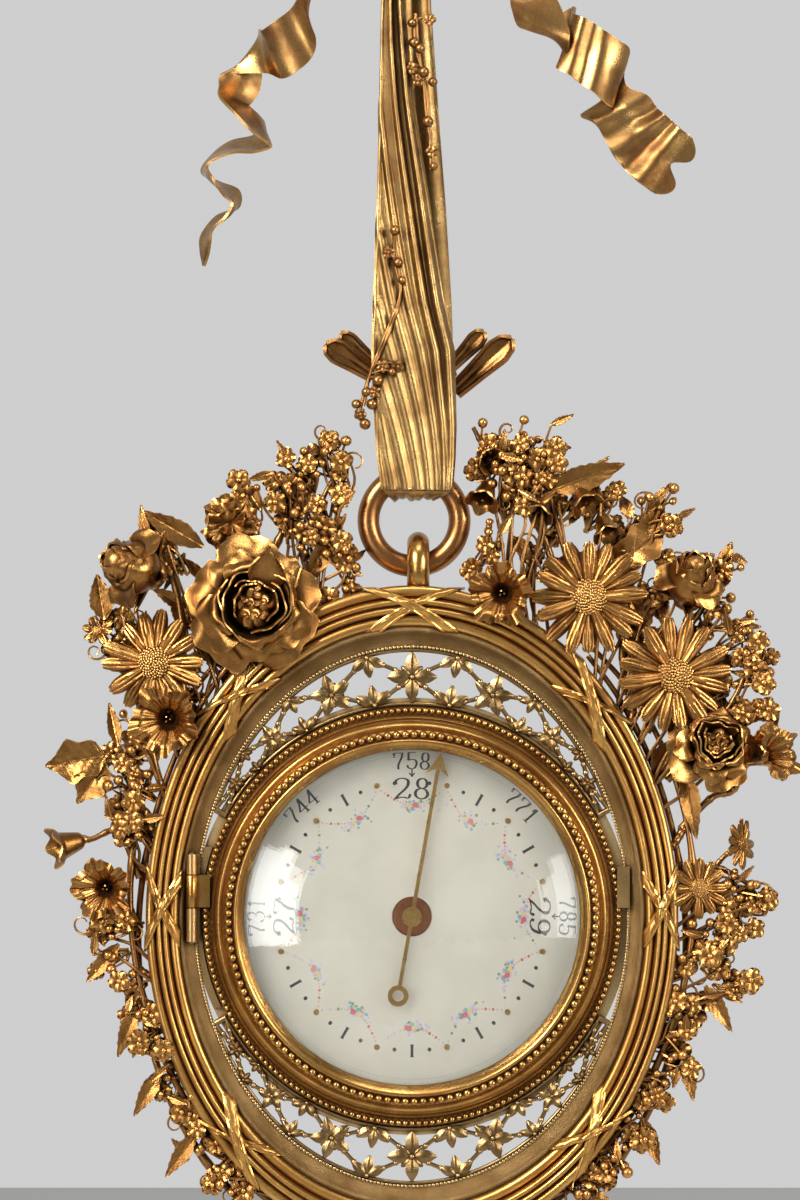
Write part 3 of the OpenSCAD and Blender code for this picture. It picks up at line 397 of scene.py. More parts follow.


# The third tone of each metal is painted into its recesses as patina and painted shade
FLOWER_RECESS = (0.004, 0.25, 0.85)
GILT = metal("burnished_gilt", [(0.60, 0.34, 0.10), (0.33, 0.16, 0.042), (0.07, 0.025, 0.009)],
             (0.18, 0.34))
REED = metal("reed_gilt", [(0.66, 0.38, 0.11), (0.42, 0.21, 0.055), (0.10, 0.04, 0.013)],
             (0.26, 0.4), pits=0.15, recess=(0.0014, 0.2, 0.75))
SATIN = metal("satin_gilt", [(0.46, 0.29, 0.11), (0.22, 0.12, 0.04), (0.04, 0.016, 0.006)],
              (0.2, 0.36), grain=3400, pits=0.4)
FLOWER = metal("flower_gilt", [(0.42, 0.21, 0.06), (0.19, 0.08, 0.021), (0.035, 0.012, 0.005)],
               (0.2, 0.38), grain=2200, pits=0.3, recess=FLOWER_RECESS, rims=0.9)
TWIG = metal("twig_gilt", [(0.34, 0.17, 0.055), (0.15, 0.063, 0.019), (0.03, 0.01, 0.005)],
             (0.22, 0.4), grain=2200, pits=0.3, recess=FLOWER_RECESS, rims=0.6)
HANDS = metal("hand_gilt", [(0.70, 0.44, 0.14), (0.50, 0.29, 0.08), (0.2, 0.09, 0.03)],
              (0.24, 0.36), pits=0.1, recess=(0.0005, 0.1, 0.5))
FRET = metal("fret_bronze", [(0.32, 0.205, 0.085), (0.125, 0.073, 0.028), (0.03, 0.014, 0.006)],
             (0.2, 0.38), pits=0.25, rims=0.7)
BAND = metal("stippled_band", [(0.23, 0.142, 0.056), (0.14, 0.079, 0.028), (0.03, 0.014, 0.006)],
             (0.34, 0.5), grain=4200, pits=0.9)
RED = metal("red_bronze", [(0.42, 0.20, 0.07), (0.26, 0.105, 0.032), (0.06, 0.02, 0.008)],
            (0.22, 0.36))
STAIN = metal("stained_gilt", [(0.50, 0.29, 0.10), (0.20, 0.09, 0.03), (0.05, 0.02, 0.008)],
              (0.22, 0.42), grain=1800, pits=0.3, rims=0.6)
BRASS = metal("case_brass", [(0.66, 0.50, 0.24), (0.52, 0.37, 0.16), (0.16, 0.09, 0.04)],
              (0.28, 0.42), grain=3000)
STEEL = metal("steel", [(0.60, 0.60, 0.60), (0.48, 0.48, 0.5), (0.14, 0.13, 0.13)],
              (0.24, 0.36), grain=3000, pits=0.1)
COPPER = metal("copper", [(0.60, 0.24, 0.09), (0.40, 0.14, 0.05), (0.12, 0.04, 0.015)],
               (0.2, 0.34), grain=3000, pits=0.15)


def glossy(name, colours, roughness, coat=0.0):
    """Enamel or paint: one colour drifting into another."""
    material, tree, shader = nodes_of(name)
    tone = ramp(tree, noise(tree, 60, 3), [(0.35, colours[0]), (0.65, colours[1])])
    tree.links.new(tone, shader.inputs["Base Color"])
    shader.inputs["Roughness"].default_value = roughness
    shader.inputs["Coat Weight"].default_value = coat
    bump(tree, shader, noise(tree, 700, 2), 0.03, TINY_PITS)
    return material


ENAMEL = glossy("ivory_enamel", ((0.66, 0.63, 0.54), (0.72, 0.69, 0.60)), 0.16, 0.4)
INK = glossy("black_print", ((0.025, 0.025, 0.028), (0.045, 0.042, 0.04)), 0.4)
PAINTS = [glossy(name, colours, 0.4) for name, colours in (
    ("painted_lavender", ((0.52, 0.42, 0.58), (0.62, 0.54, 0.66))),
    ("painted_red", ((0.62, 0.09, 0.09), (0.68, 0.24, 0.2))),
    ("painted_yellow", ((0.7, 0.5, 0.12), (0.8, 0.62, 0.25))),
    ("painted_teal", ((0.12, 0.38, 0.42), (0.3, 0.5, 0.52))),
    ("painted_green", ((0.16, 0.28, 0.12), (0.3, 0.4, 0.2))))]


def clear_glass():
    """Thin old glass with a slight unevenness."""
    material, tree, shader = nodes_of("clear_glass")
    shader.inputs["Base Color"].default_value = (0.97, 0.98, 0.97, 1)
    shader.inputs["Roughness"].default_value = 0.02
    shader.inputs["IOR"].default_value = 1.45
    shader.inputs["Transmission Weight"].default_value = 1
    bump(tree, shader, noise(tree, 40, 2), 0.01, 0.0005)
    return material


GLASS = clear_glass()

# The solids wear the look of their slot, but for a few with looks of their own
LOOKS = {"gilt": GILT, "old_gilt": TWIG, "bronze": RED, "brass": BRASS, "steel": STEEL,
         "enamel": ENAMEL, "copper": COPPER, "crystal": GLASS}
OWN_LOOKS = {"pressure_hand": HANDS, "dial_studs": HANDS, "hand_arbor": HANDS,
             "hinge_plate": FRET, "hinge_pin": FRET, "door_catch": FRET}
SLOTS = {part["node"]: part["material_slot"] for part in frame["record"]["subparts"]}
for name, made in frame["nodes"].items():
    made.data.materials.clear()
    made.data.materials.append(OWN_LOOKS.get(name, LOOKS[SLOTS[name]]))


# The strap and the ribbons

STRAP_TOP = NAIL_Y - 14
STRAP_FOLD = RING_Y + 9

# The strap's edges as heights and the x at each
STRAP_LEFT = ([120, 131, 140, 162, 205, 262, 282], [-8.4, -10, -10.6, -11.6, -10, -8.6, -6])
STRAP_RIGHT = ([120, 131, 140, 162, 176, 205, 233, 262, 282],
               [11.2, 12.1, 12.4, 12, 9, 5.1, 0.8, -2, -1])

# Each pleat: its place across the strap at the fold and at the top, its half width and its height
PLEATS = [
    (0.03, 0.04, 0.02, 0.3), (0.17, -0.9, 0.045, 0.35), (0.36, -1.4, 0.06, 0.5),
    (0.54, -1.0, 0.055, 0.45), (0.68, -0.6, 0.055, 0.55), (0.8, -0.15, 0.05, 0.6),
    (0.89, 0.35, 0.05, 0.9), (0.975, 0.74, 0.055, 1.2)]


def strap_front(u, y):
    """The x and z of the strap's front, by the share across it and the height."""
    high = np.clip((y - STRAP_FOLD) / 130, 0, 1) ** 1.3
    t = (STRAP_TOP - y) / (STRAP_TOP - STRAP_FOLD)
    z = mix(-6, RING_Z + 5.6, np.minimum(1, t * 1.4)) - 0.3 + 0.1 * np.sin(5 * u + y / 40)
    for low_u, high_u, half, rise in PLEATS:
        centre = mix(low_u, high_u, high)
        z = z + 2.1 * rise * smooth_step(-0.02, 0.1, centre) * np.exp(-((u - centre) / half) ** 2)
    return mix(np.interp(y, *STRAP_LEFT), np.interp(y, *STRAP_RIGHT), u), z


def strap_form():
    """The strap: its pleated front, its fold round the ring and its plain rear."""
    rear_left = ([120, 162, 262, 282], [-7, -6, -3, -3])
    rear_right = ([120, 150, 176, 205, 262, 282], [10.5, 12.2, 11.4, 9.7, 5.4, 5])
    u = np.linspace(0, 1, 161)[None, :]
    y = np.linspace(STRAP_TOP, STRAP_FOLD, 150)[:, None]
    x, z = strap_front(u, y)
    front = grid_of(x, y, z)
    a = np.radians(np.linspace(0, 180, 40))[1:-1, None]
    half = 5.8 + 4 * np.abs(np.cos(a)) ** 3
    shift = RING_X + 0.9 * np.cos(a) ** 2
    rim = (0.3 * np.sin(31 * u + 1) + 0.4 * np.cos(4 * np.pi * u)) * np.sin(a)
    low = STRAP_FOLD - (2.6 + rim) * np.sin(a)
    fold = grid_of(shift + (2 * u - 1) * half, low, RING_Z + 5.2 * np.cos(a))
    y = np.linspace(STRAP_FOLD, STRAP_TOP, 110)[:, None]
    t = (y - STRAP_FOLD) / (STRAP_TOP - STRAP_FOLD)
    z = mix(RING_Z - 6.2, -13, t)
    left, right = np.interp(y, *rear_left), np.interp(y, *rear_right)
    rear = grid_of(mix(left, right, u), y, z + 0.3 * np.sin(12 * u + y / 40))
    return sheet_form(np.concatenate([front, fold, rear])[:, ::-1], 0.9)


def from_pixel(x, y, z):
    """A point by the pixel of the picture that shows it and by its depth."""
    return ((x - DIAL_PIXEL[0]) / PIXELS_PER_MM, (DIAL_PIXEL[1] - y) / PIXELS_PER_MM, z)


def ribbon_form(stations, notch):
    """A ribbon by stations: its middle as x and y in pixels of the picture and z in millimetres,
    then the way from there to its edge, in the same terms. The notch cuts into its end."""
    rows = 10 * len(stations)
    middles = [from_pixel(*station[:3]) for station in stations]
    halves = [(dx / PIXELS_PER_MM, -dy / PIXELS_PER_MM, dz) for *_, dx, dy, dz in stations]
    path, side = spline(middles, rows), spline(halves, rows)
    u = np.linspace(-1, 1, 25)[None, :]
    reach = 1 - notch * (np.exp(-(u / 0.28) ** 2) + 0.8 * u**6)
    spot = np.linspace(0, rows - 1, rows)[:, None] * reach

    def along(curve):
        return np.stack([np.interp(spot, np.arange(rows), curve[:, k]) for k in range(3)], -1)

    grid = along(path) + u[..., None] * along(side)
    normal = unit(np.cross(np.gradient(grid, axis=1), np.gradient(grid, axis=0)))
    v = np.linspace(0, len(stations), rows)[:, None]
    grid = grid + normal * (0.12 * np.sin(2.1 * v + 2 * u) + 0.18 * np.cos(3 * u + v))[..., None]
    return sheet_form(grid, 0.8)


LEFT_TAIL = [
    (376, -66, -11, 5, 8, 1), (345, -58, -9, -4, 15, 1), (322, -36, -6, -7, 20, 1),
    (306, -8, -3, 2, 21, 1), (306, 18, 0, 9, 21, 0), (300, 34, 3, 11, 24, 0),
    (286, 46, 3.5, 11, 25, 0), (273, 53, 1, 11, 24, 0), (262, 48, -5, 4, 22, 0),
    (247, 50, -8, -14, 20, 1), (240, 66, -8, -21, 6, 2), (238, 84, -7, -20, -2, 3),
    (234, 97, -5, -15, -3, 4), (240, 106, -2, -5, 6, 5), (250, 118, 0, 1, 13, 4),
    (262, 128, -1, 4, 14, 3), (266, 134, -4, 4, 12, 4), (252, 141, -7, 1, 9, 5),
    (230, 145, -6, 1, 7, 5), (210, 157, -4, -2, 7, 5), (206, 173, -4, 6, 5, 5),
    (220, 186, -6, 2, 7, 5), (234, 195, -5, -3, 7, 4), (231, 210, -4, -6, 5, 4),
    (214, 221, -5, -1, 7, 4), (205, 236, -6, 5, 4, 3), (203, 250, -7, 4, 2, 2),
    (202, 263, -7, 1, 1, 1)]
RIGHT_TAIL = [
    (446, -66, -11, 5, -8, 1), (480, -50, -9, 12, -14, 1), (510, -30, -6, 20, -12, 1),
    (532, -8, -2, 24, 2, 0), (540, 16, 0, 28, 8, 0), (546, 32, -1, 24, 8, 2),
    (560, 36, -5, 8, 22, 3), (574, 30, -6, -2, 28, 3), (566, 38, -3, -8, 28, 1),
    (576, 44, 0, -7, 29, 0), (588, 52, -1, -7, 30, 0), (600, 60, 0, -7, 30, 0),
    (612, 69, -1.5, -7, 31, 0), (622, 76, -5, -8, 30, 0), (612, 88, -9, -14, 22, 0),
    (606, 98, -8, -24, 14, 0), (622, 106, -5, -27, 14, 1), (632, 120, -5, -27, 15, 1),
    (640, 132, -3, -26, 20, 0), (650, 143, -4, -24, 24, 0), (660, 153, -2, -21, 27, 0),
    (672, 162, -3, -19, 28, 0), (686, 172, -3, -17, 27, 0)]


def bow_loop_form(side):
    """A loop of the bow that leaves the knot, widens and comes back; side is -1 for the left."""
    v, u = axes(140, 25)
    a = FULL_TURN * v
    out = (1 - np.cos(a)) / 2
    width = mix(5, 17, np.sin(a / 2))
    pleat = 0.5 * (1 - out)**2 * np.cos(5 * math.pi * u)
    y = NAIL_Y - 10 + 22 * out - 6 * np.sin(a) + u * width / 2
    z = -10.5 + 8 * np.sin(a) + 1.2 * np.sin(5 * a) + pleat
    return sheet_form(grid_of(side * mix(6, 54, out), y, z), 0.9)


def knot_form():
    """The knot: five folds side by side, each fullest in its middle."""
    form = Form()
    a = evenly_round(40)[None, :]
    v = np.linspace(1, -1, 25)[:, None]
    bow = 1 - v * v
    swell = np.sqrt(np.maximum(1 - v**4, 0.0)) + 0.02
    for i in range(-2, 3):
        x = i * (3.6 + 0.3 * bow) + 3.5 * swell * np.cos(a)
        y = NAIL_Y - 10 + v * (14.2 - abs(i))
        z = -11.5 + 3 * bow + (3.4 + 0.4 * np.cos(7 * a)) * swell * np.sin(a)
        add_rings(form, grid_of(x, y, z))
    return form


left_tail = ribbon_form(LEFT_TAIL, notch=0.0)
right_tail = ribbon_form(RIGHT_TAIL, notch=0.045)
piece("pleated_strap", strap_form(), [SATIN], "suspension", ["hanging_strap"])
piece("tail_left", left_tail, [STAIN], "suspension", ["ribbon_tail_left"])
piece("tail_right", right_tail, [STAIN], "suspension", ["ribbon_tail_right"])
piece("loop_left", bow_loop_form(-1), [GILT], "suspension", ["bow_loop_left"])
piece("loop_right", bow_loop_form(1), [GILT], "suspension", ["bow_loop_right"])
piece("knot", knot_form(), [GILT], "suspension", ["bow_knot"])


# The oval frame

def sweep_form(section):
    """A section of (out, z), swept round the oval."""
    angles = np.arange(360)
    points = np.stack([oval_at(angles, out, z) for out, z in section], axis=1)
    form = Form()
    form.add(points, grid_faces(len(angles), len(section), True, True))
    return form


def reed_section():
    """The moulding: a thick reed each side, two narrow ones between, and the flat back."""
    thick, narrow = (1.52, 4.4, 1.5), (0.98, 5.8, 1.7)
    points = [(5.3, 0)]
    reeds = [(3.72, thick), (1.02, narrow), (-1.02, narrow), (-3.72, thick)]
    for centre, (half, foot, rise) in reeds:
        for k in range(9):
            a = math.pi * k / 8
            points.append((centre + half * math.cos(a), foot + rise * math.sin(a)))
    points.append((-5.3, 0))
    return points


def ties_form():
    """Crossed ribbons that follow the reeds under them, with a raised wire along each edge."""
    places = [90, 50, 128, 2, 178, 232, 310, 270]
    half_crossing = 7.8
    half_width = 2.3
    form = Form()
    out = np.linspace(5.75, -5.7, 46)
    top = np.interp(out, [-5.7, -5.3, -3.7, -2.2, -1, 0, 1, 2.2, 3.7, 5.3, 5.75],
                    [4.2, 5.2, 6.3, 6.6, 7.8, 7.6, 7.8, 6.6, 6.3, 5.2, 1.5])
    v = np.linspace(-1, 1, 46)
    u = np.linspace(-1, 1, 13)
    edge = 0.28 * np.exp(-((np.abs(u) - 0.86) / 0.08) ** 2)
    for angle in places:
        turn = math.radians(angle)
        along = np.array([-math.sin(turn), math.cos(turn), 0])
        for way in (-1, 1):
            spots = oval_at(angle - way * half_crossing * v, out, top + 0.3 * way)
            grid = spots[:, None, :] + u[None, :, None] * half_width * along
            grid[:, :, 2] += edge + 0.12 * np.cos(np.pi * u) * (1 - np.abs(u))
            add_sheet(form, grid, 0.7)
    return form


def band_form():
    """The matt band, which slopes inwards from the step under the reeds."""
    section = [(-11, 1), (-5.3, 1), (-5.3, 4.4), (-5.9, 4.75), (-6.6, 4.7), (-7.0, 4.2), (-9.9, 2.3),
               (-10.3, 2.35), (-11, 1.9)]
    return sweep_form(section)


def milled_edge_form():
    """The rope-like milling along the band's inner edge."""
    form = Form()
    count = 430
    for k in range(count):
        add_ball(form, oval_at(360 * k / count, -10.55, 2.25), 0.52, 6)
    return form


piece("reeds", sweep_form(reed_section()), [REED], "medallion", ["reeded_frame"])
piece("ties", ties_form(), [REED], "medallion", ["ribbon_ties"])
piece("band", band_form(), [BAND], "medallion", ["inner_band"])
piece("milled_edge", milled_edge_form(), [FRET], "medallion")


# The pierced frets

FRET_IN = 60.6
FRET_BACK = 1.0
FRET_END = 62


def fret_spot(angle, share):
    """A point of the fret, by the angle clockwise from the top and the share of the way outwards."""
    outer = np.linalg.norm(oval_at(90 - angle, -11.15)[..., :2], axis=-1)
    return clockwise(FRET_IN + share * (outer - FRET_IN), angle, FRET_BACK)


def add_star_petal(form, at, turn, length, width):
    """A pointed petal, swollen near its foot, with a ridge down its middle."""
    v, u = axes(12, 9)
    shape = [0.25, 0.42, 0.86, 1, 0.84, 0.42, 0.03]
    half = width / 2 * np.interp(v, [0, 0.14, 0.3, 0.5, 0.7, 0.88, 1], shape)
    z = 1.0 + 0.9 * np.sin(np.pi * np.clip(v * 0.85 + 0.1, 0, 1)) * (1 - 0.75 * np.abs(u))
    add_sheet(form, turned_grid(grid_of(v * length, u * half, z), turn) + at, 0.7)


def add_bar(form, a, b, width):
    """A bar of the lattice with a small collar near each end."""
    path = np.linspace(a, b, 9)
    path[:, 2] += 0.8
    add_tube(form, path, width / 2, 6)
    for share in (0.36, 0.64):
        spot = mix(path[0], path[-1], share)
        add_ball(form, spot, width * 0.72, 8)


def both_ways(angles):
    """The angles to both sides of the top."""
    return sorted({side * angle for side in (-1, 1) for angle in angles})


def fret_form():
    """The upper fret: whole flowers along its middle, half flowers along both rims, and bars."""
    full = [0, 20, 38, 53]
    half = [10, 29.5, 46]
    bar = 1.25
    form = Form()
    for share in (0.015, 0.985):
        path = fret_spot(np.linspace(-FRET_END, FRET_END, 120), share)
        path[:, 2] += 0.6
        add_tube(form, path, 0.6, 8)
    for side in (-1, 1):
        end = np.array([fret_spot(side * (FRET_END - 0.5), s) for s in np.linspace(0.02, 0.98, 7)])
        end[:, 2] += 0.6
        add_tube(form, end, 0.9, 8)
        for k, a in enumerate(half):
            for share in (0.05, 0.95):
                add_bar(form, fret_spot(side * full[k], 0.5), fret_spot(side * a, share), bar)
                add_bar(form, fret_spot(side * a, share), fret_spot(side * full[k + 1], 0.5), bar)
        for share in (0.05, 0.95):
            add_bar(form, fret_spot(side * full[-1], 0.5), fret_spot(side * (FRET_END - 1), share), bar)
    for a in both_ways(full):
        gap = np.linalg.norm(fret_spot(a, 1) - fret_spot(a, 0))
        count = 4 if a == 0 else 5
        at = fret_spot(a, 0.5)
        for i in range(count):
            turn = 90 - a + 360 * i / count
            add_star_petal(form, at, turn, gap * 0.44, gap * 0.24)
            add_star_petal(form, at - (0, 0, 0.35), turn + 180 / count, gap * 0.26, gap * 0.12)
        add_ball(form, at + (0, 0, 2.0), gap * 0.055, 10)
    for a in both_ways(half):
        gap = np.linalg.norm(fret_spot(a, 1) - fret_spot(a, 0))
        for rim in (0, 1):
            at = fret_spot(a, 0.05 + 0.9 * rim)
            for fan in (-55, 0, 55):
                add_star_petal(form, at, 90 - a + fan + 180 * rim, gap * 0.37, gap * 0.18)
            add_ball(form, at + (0, 0, 1.8), gap * 0.05, 8)
    return form


def half_turned(form):
    """The form turned upside down about the middle of the dial."""
    for p in form.points:
        p[:, :2] *= -1
    return form


piece("fret_above", fret_form(), [FRET], "medallion", ["fret_upper"])
piece("fret_below", half_turned(fret_form()), [FRET], "medallion", ["fret_lower"])


# The bezel's mouldings and beads

# The bezel's section as radii and heights, from its back out over the steps and in to the glass
BEZEL_SECTION = [
    (53.4, 1.3), (60, 1.3), (60, 2.5), (59.9, 2.75), (58.0, 2.75), (57.8, 3.2), (57.5, 3.6),
    (57.2, 4.1), (56.9, 4.35), (56.6, 4.1), (56.35, 4.5), (56.0, 4.8), (55.6, 4.6), (55.2, 4.75),
    (54.6, 5.2), (54.1, 6.0), (53.75, 7.0), (53.6, 7.9), (53.3, 8.3), (51.6, 8.5), (51.1, 9.2),
    (50.8, 9.8), (50.4, 10.0), (50.0, 9.9), (49.2, 9.0), (47.9, 7.8), (47.9, 6.7), (50.4, 6.7),
    (50.4, 3.4), (52.4, 3)]


def bezel_form():
    """The stepped moulding of the glazed door."""
    form = Form()
    add_turned(form, BEZEL_SECTION, 240)
    return form


def beads_form(radius, z, count, size):
    """A ring of equal beads."""
    form = Form()
    for at in around(radius, evenly_round(count), z):
        add_ball(form, at, size, 12)
    return form


def door_hinge_form():
    """The door's own knuckle and its ear."""
    form = Form()
    pin_x, pin_z = -62.9, 5.3
    path = grid_of(pin_x, np.array([2.75, 2.9, 11.9, 12.05]), pin_z)
    add_tube(form, path, [1.35, 1.5, 1.5, 1.35], 24)
    x = np.linspace(-61.9, -57.8, 5)[None, :]
    y = np.linspace(2.8, 12, 9)[:, None]
    add_sheet(form, grid_of(x, y, np.linspace(3.9, 3.7, 5)[None, :]), 1.5)
    return form


piece("bezel_moulding", bezel_form(), [GILT], "bezel_door", ["bezel"])
piece("outer_beads", beads_form(59.05, 2.95, 192, 0.9), [GILT], "bezel_door")
piece("inner_beads", beads_form(52.3, 8.75, 129, 1.2), [GILT], "bezel_door")
piece("door_knuckle", door_hinge_form(), [GILT], "bezel_door")


# The dial's print and painted garlands

DIAL_TOP = 1.2
PRINT_RISE = 0.025
DIGIT_STEP = 0.74

# Radii on the dial
OUTER_NUMBERS_R = 44.3
ARROWS_R = 41.0
SWAGS_R = 38.4
TRACK_R = 38.3
INNER_NUMBERS_R = 36.6
POSIES_R = 31.6


def loop_points(x, y, half_w, half_h):
    """A closed stroke about a middle."""
    a = np.linspace(0.5, 0.5 + FULL_TURN, 13)
    return [(x + half_w * math.cos(t), y + half_h * math.sin(t)) for t in a]


# The pen strokes of each digit, in a box one high with its middle at zero
DIGITS = {
    "1": [[(-0.16, 0.3), (0, 0.48)], [(0, 0.5), (0, -0.5)], [(-0.16, -0.49), (0.16, -0.49)]],
    "2": [[(-0.22, 0.22), (-0.2, 0.4), (0, 0.5), (0.22, 0.4), (0.24, 0.2), (0.1, -0.05),
           (-0.12, -0.27), (-0.27, -0.47)], [(-0.27, -0.47), (0, -0.42), (0.2, -0.48), (0.3, -0.3)]],
    "3": [[(-0.22, 0.3), (-0.1, 0.47), (0.1, 0.48), (0.22, 0.3), (0.12, 0.08), (-0.05, 0.03)],
          [(-0.05, 0.03), (0.17, 0), (0.27, -0.22), (0.15, -0.45), (-0.05, -0.5), (-0.23, -0.42),
           (-0.25, -0.26)]],
    "4": [[(0.1, 0.48), (-0.3, -0.2)], [(-0.3, -0.2), (0.3, -0.2)], [(0.1, 0.5), (0.1, -0.5)],
          [(-0.05, -0.49), (0.25, -0.49)]],
    "5": [[(0.22, 0.46), (-0.18, 0.46)], [(-0.18, 0.48), (-0.21, 0.05)],
          [(-0.21, 0.05), (0, 0.13), (0.2, 0.05), (0.26, -0.16), (0.17, -0.42), (-0.05, -0.5),
           (-0.23, -0.4), (-0.25, -0.27)]],
    "7": [[(-0.24, 0.3), (-0.22, 0.46), (0.27, 0.46)],
          [(0.27, 0.46), (0.07, 0.05), (-0.05, -0.25), (-0.06, -0.5)]],
    "8": [loop_points(0, 0.25, 0.18, 0.23), loop_points(0, -0.25, 0.23, 0.25)],
    "9": [loop_points(0, 0.2, 0.22, 0.28),
          [(0.22, 0.2), (0.22, -0.08), (0.12, -0.36), (-0.08, -0.49), (-0.22, -0.42), (-0.2, -0.3)]],
}


def add_stroke(form, points, size, thick=0.15, thin=0.055):
    """A pen stroke, broad where it runs up and down and fine where it runs across."""
    path = spline([(x, y, 0) for x, y in points], 8 * len(points)) * size
    way = unit(np.gradient(path, axis=0))
    side = np.stack([-way[:, 1], way[:, 0], 0 * way[:, 0]], 1)
    half = size * mix(thin, thick, np.abs(way[:, 1]) ** 1.5)[:, None] / 2
    grid = np.stack([path - side * half, path, path + side * half], 1)
    add_sheet(form, grid, 0.05)


def stand_on_dial(form, radius, angle):
    """Later strokes stand on the dial with their tops outwards, clockwise from its top."""
    form.stand(clockwise(radius, angle, DIAL_TOP + PRINT_RISE), -angle)


def add_number(form, text, radius, angle, size, wide):
    """A number about an angle of the dial; wide widens its digits."""
    step = math.degrees(size * DIGIT_STEP * wide / radius)
    for k, digit in enumerate(text):
        stand_on_dial(form, radius, angle + (k - (len(text) - 1) / 2) * step)
        for points in DIGITS[digit]:
            add_stroke(form, [(x * wide, y) for x, y in points], size)


def print_form():
    """The print: numbers in two rings, an arrow by each inner one, bars and dots along the track."""
    form = Form()
    upright = [(0, 0.5), (0, -0.5)]
    for text, angle in (("758", 0), ("771", 45), ("785", 90), ("744", -45), ("731", -90)):
        add_number(form, text, OUTER_NUMBERS_R, angle, 4.2, 1.2)
    for text, angle in (("28", 0), ("29", 90), ("27", -90)):
        add_number(form, text, INNER_NUMBERS_R, angle, 5.9, 1.3)
        stand_on_dial(form, ARROWS_R, angle)
        add_stroke(form, upright, 2.2, 0.17, 0.17)
        for side in (-1, 1):
            head = [(side * 0.38, -0.05), (side * 0.15, -0.25), (0, -0.52)]
            add_stroke(form, head, 2.2, 0.17, 0.17)
    for angle in (30, 60, 120, 150, 180, 210, 240, 300, 330):
        stand_on_dial(form, TRACK_R, angle)
        add_stroke(form, upright, 3.4, 0.24, 0.24)
        for end in (-0.5, 0.5):
            add_stroke(form, [(-0.16, end), (0.16, end)], 3.4, 0.07, 0.07)
    form.stand()
    for k in range(24):
        add_ball(form, clockwise(TRACK_R, 7.5 + 15 * k, DIAL_TOP), 0.55, 12, 0.08)
    return form


LAVENDER, RED_PAINT, YELLOW, TEAL, GREEN = range(5)

# The bigger flowers of a posy: x and y from its middle, paint and size
POSY = [
    (-0.9, 0.1, YELLOW, 0.85), (0.9, 0.3, RED_PAINT, 0.95), (0.1, -0.9, TEAL, 0.7),
    (1.7, -0.2, RED_PAINT, 0.55), (-1.9, -0.3, LAVENDER, 0.7), (0.0, 0.7, LAVENDER, 0.6)]


def add_posy(form, angle, turn, rng):
    """Flecks of paint about a place on the dial, with the bigger flowers on them."""
    middle, across = clockwise(POSIES_R, angle, DIAL_TOP), spin(-angle).T
    for k in range(46):
        x, y = rng.gauss(0, 2.0), rng.gauss(0, 0.95)
        paint = rng.choice([LAVENDER, LAVENDER, LAVENDER, TEAL, GREEN])
        add_ball(form, (x, y, 0) @ across + middle, rng.uniform(0.3, 0.6), 7, 0.06, paint)
    for x, y, paint, size in POSY:
        petals = around(0.5 * size, FULL_TURN * np.arange(5) / 5 + turn, 0) + (x, y, 0)
        for petal in petals @ across + middle:
            add_ball(form, petal, 0.5 * size, 7, 0.12, paint)


def garlands_form():
    """Twelve painted swags from stud to stud, each with a posy in its middle."""
    rng = random.Random(5)
    form = Form()
    for k in range(12):
        for i in range(22):
            t = 0.04 + 0.92 * i / 21
            sag = 6.6 * math.sin(math.pi * t) ** 0.75
            spot = clockwise(SWAGS_R - sag, 15 + 30 * (k + t), DIAL_TOP)
            bead = 0.42 if i in (2, 4, 17, 19) else 0.2
            paint = RED_PAINT if t < 0.5 else rng.choice([LAVENDER, GREEN])
            add_ball(form, spot, bead, 8, 0.14, paint)
        add_posy(form, 30 * (k + 1), k, rng)
    return form


piece("dial_print", print_form(), [INK], "medallion")
piece("dial_garlands", garlands_form(), PAINTS, "medallion")


# Flowers

PETAL_THICK = 0.55
PETAL_RUFFLE = 0.035


def petal_grid(length, width, shape, lift, cup, groove=0.0, notch=0.0, rows=12, cols=9, teeth=2.5,
               blunt=0.14):
    """A petal along x: shape gives its width from foot to tip, and lift its rise and its bend."""
    v, u = axes(rows, cols)
    half = width / 2 * np.interp(v, np.linspace(0, 1, len(shape)), shape)
    tip = v**6
    x = length * (v - notch * tip * np.cos(teeth * math.pi * u) - blunt * tip * u**2)
    z = lift[0] * length * v + lift[1] * length * v**2
    z = z + cup * width * u**2 * np.sin(np.pi * np.clip(v, 0.1, 0.95))
    z = z + groove * width * np.cos(3 * math.pi * u) * np.sin(np.pi * np.clip(v * 0.9 + 0.1, 0, 1))
    return grid_of(x, u * half, z)


def ruffled(grid, depth, waves, phase):
    """The petal with waves across it that grow towards its rim."""
    v, u = axes(*grid.shape[:2])
    lift = depth * v**2 * np.sin(waves * u + phase)
    return grid + lift[..., None] * (0, 0, 1)


def add_daisy(form, radius, count, seed):
    """Long grooved petals, each with its own bend, round a domed disc of small grains."""
    rng = random.Random(seed)
    shape = [0.46, 0.52, 0.64, 0.8, 0.93, 1, 0.96, 0.66]
    for i in range(count):
        turn = 360 * i / count + rng.uniform(-4, 4)
        lift = (rng.uniform(0.02, 0.24), rng.uniform(-0.28, -0.02))
        width = 2 * math.pi * radius / count * rng.uniform(0.56, 0.64)
        grid = petal_grid(radius * rng.uniform(0.9, 1.0), width, shape, lift, cup=-0.3, groove=0.06,
                          notch=-0.022, rows=22, cols=17, teeth=3, blunt=0.07)
        add_sheet(form, turned_grid(grid, turn, rng.uniform(-0.05, 0.03) * radius), radius * 0.06)
    disc = radius * 0.31
    add_ball(form, (0, 0, -disc * 0.05), disc, 24, 0.55)
    for k in range(120):
        r = disc * 0.99 * math.sqrt((k + 0.5) / 120)
        z = disc * 0.55 * math.sqrt(max(1 - (r / disc) ** 2, 0.03)) - disc * 0.02
        add_ball(form, around(r, GOLDEN_ANGLE * k, z), disc * rng.uniform(0.065, 0.1), 6)


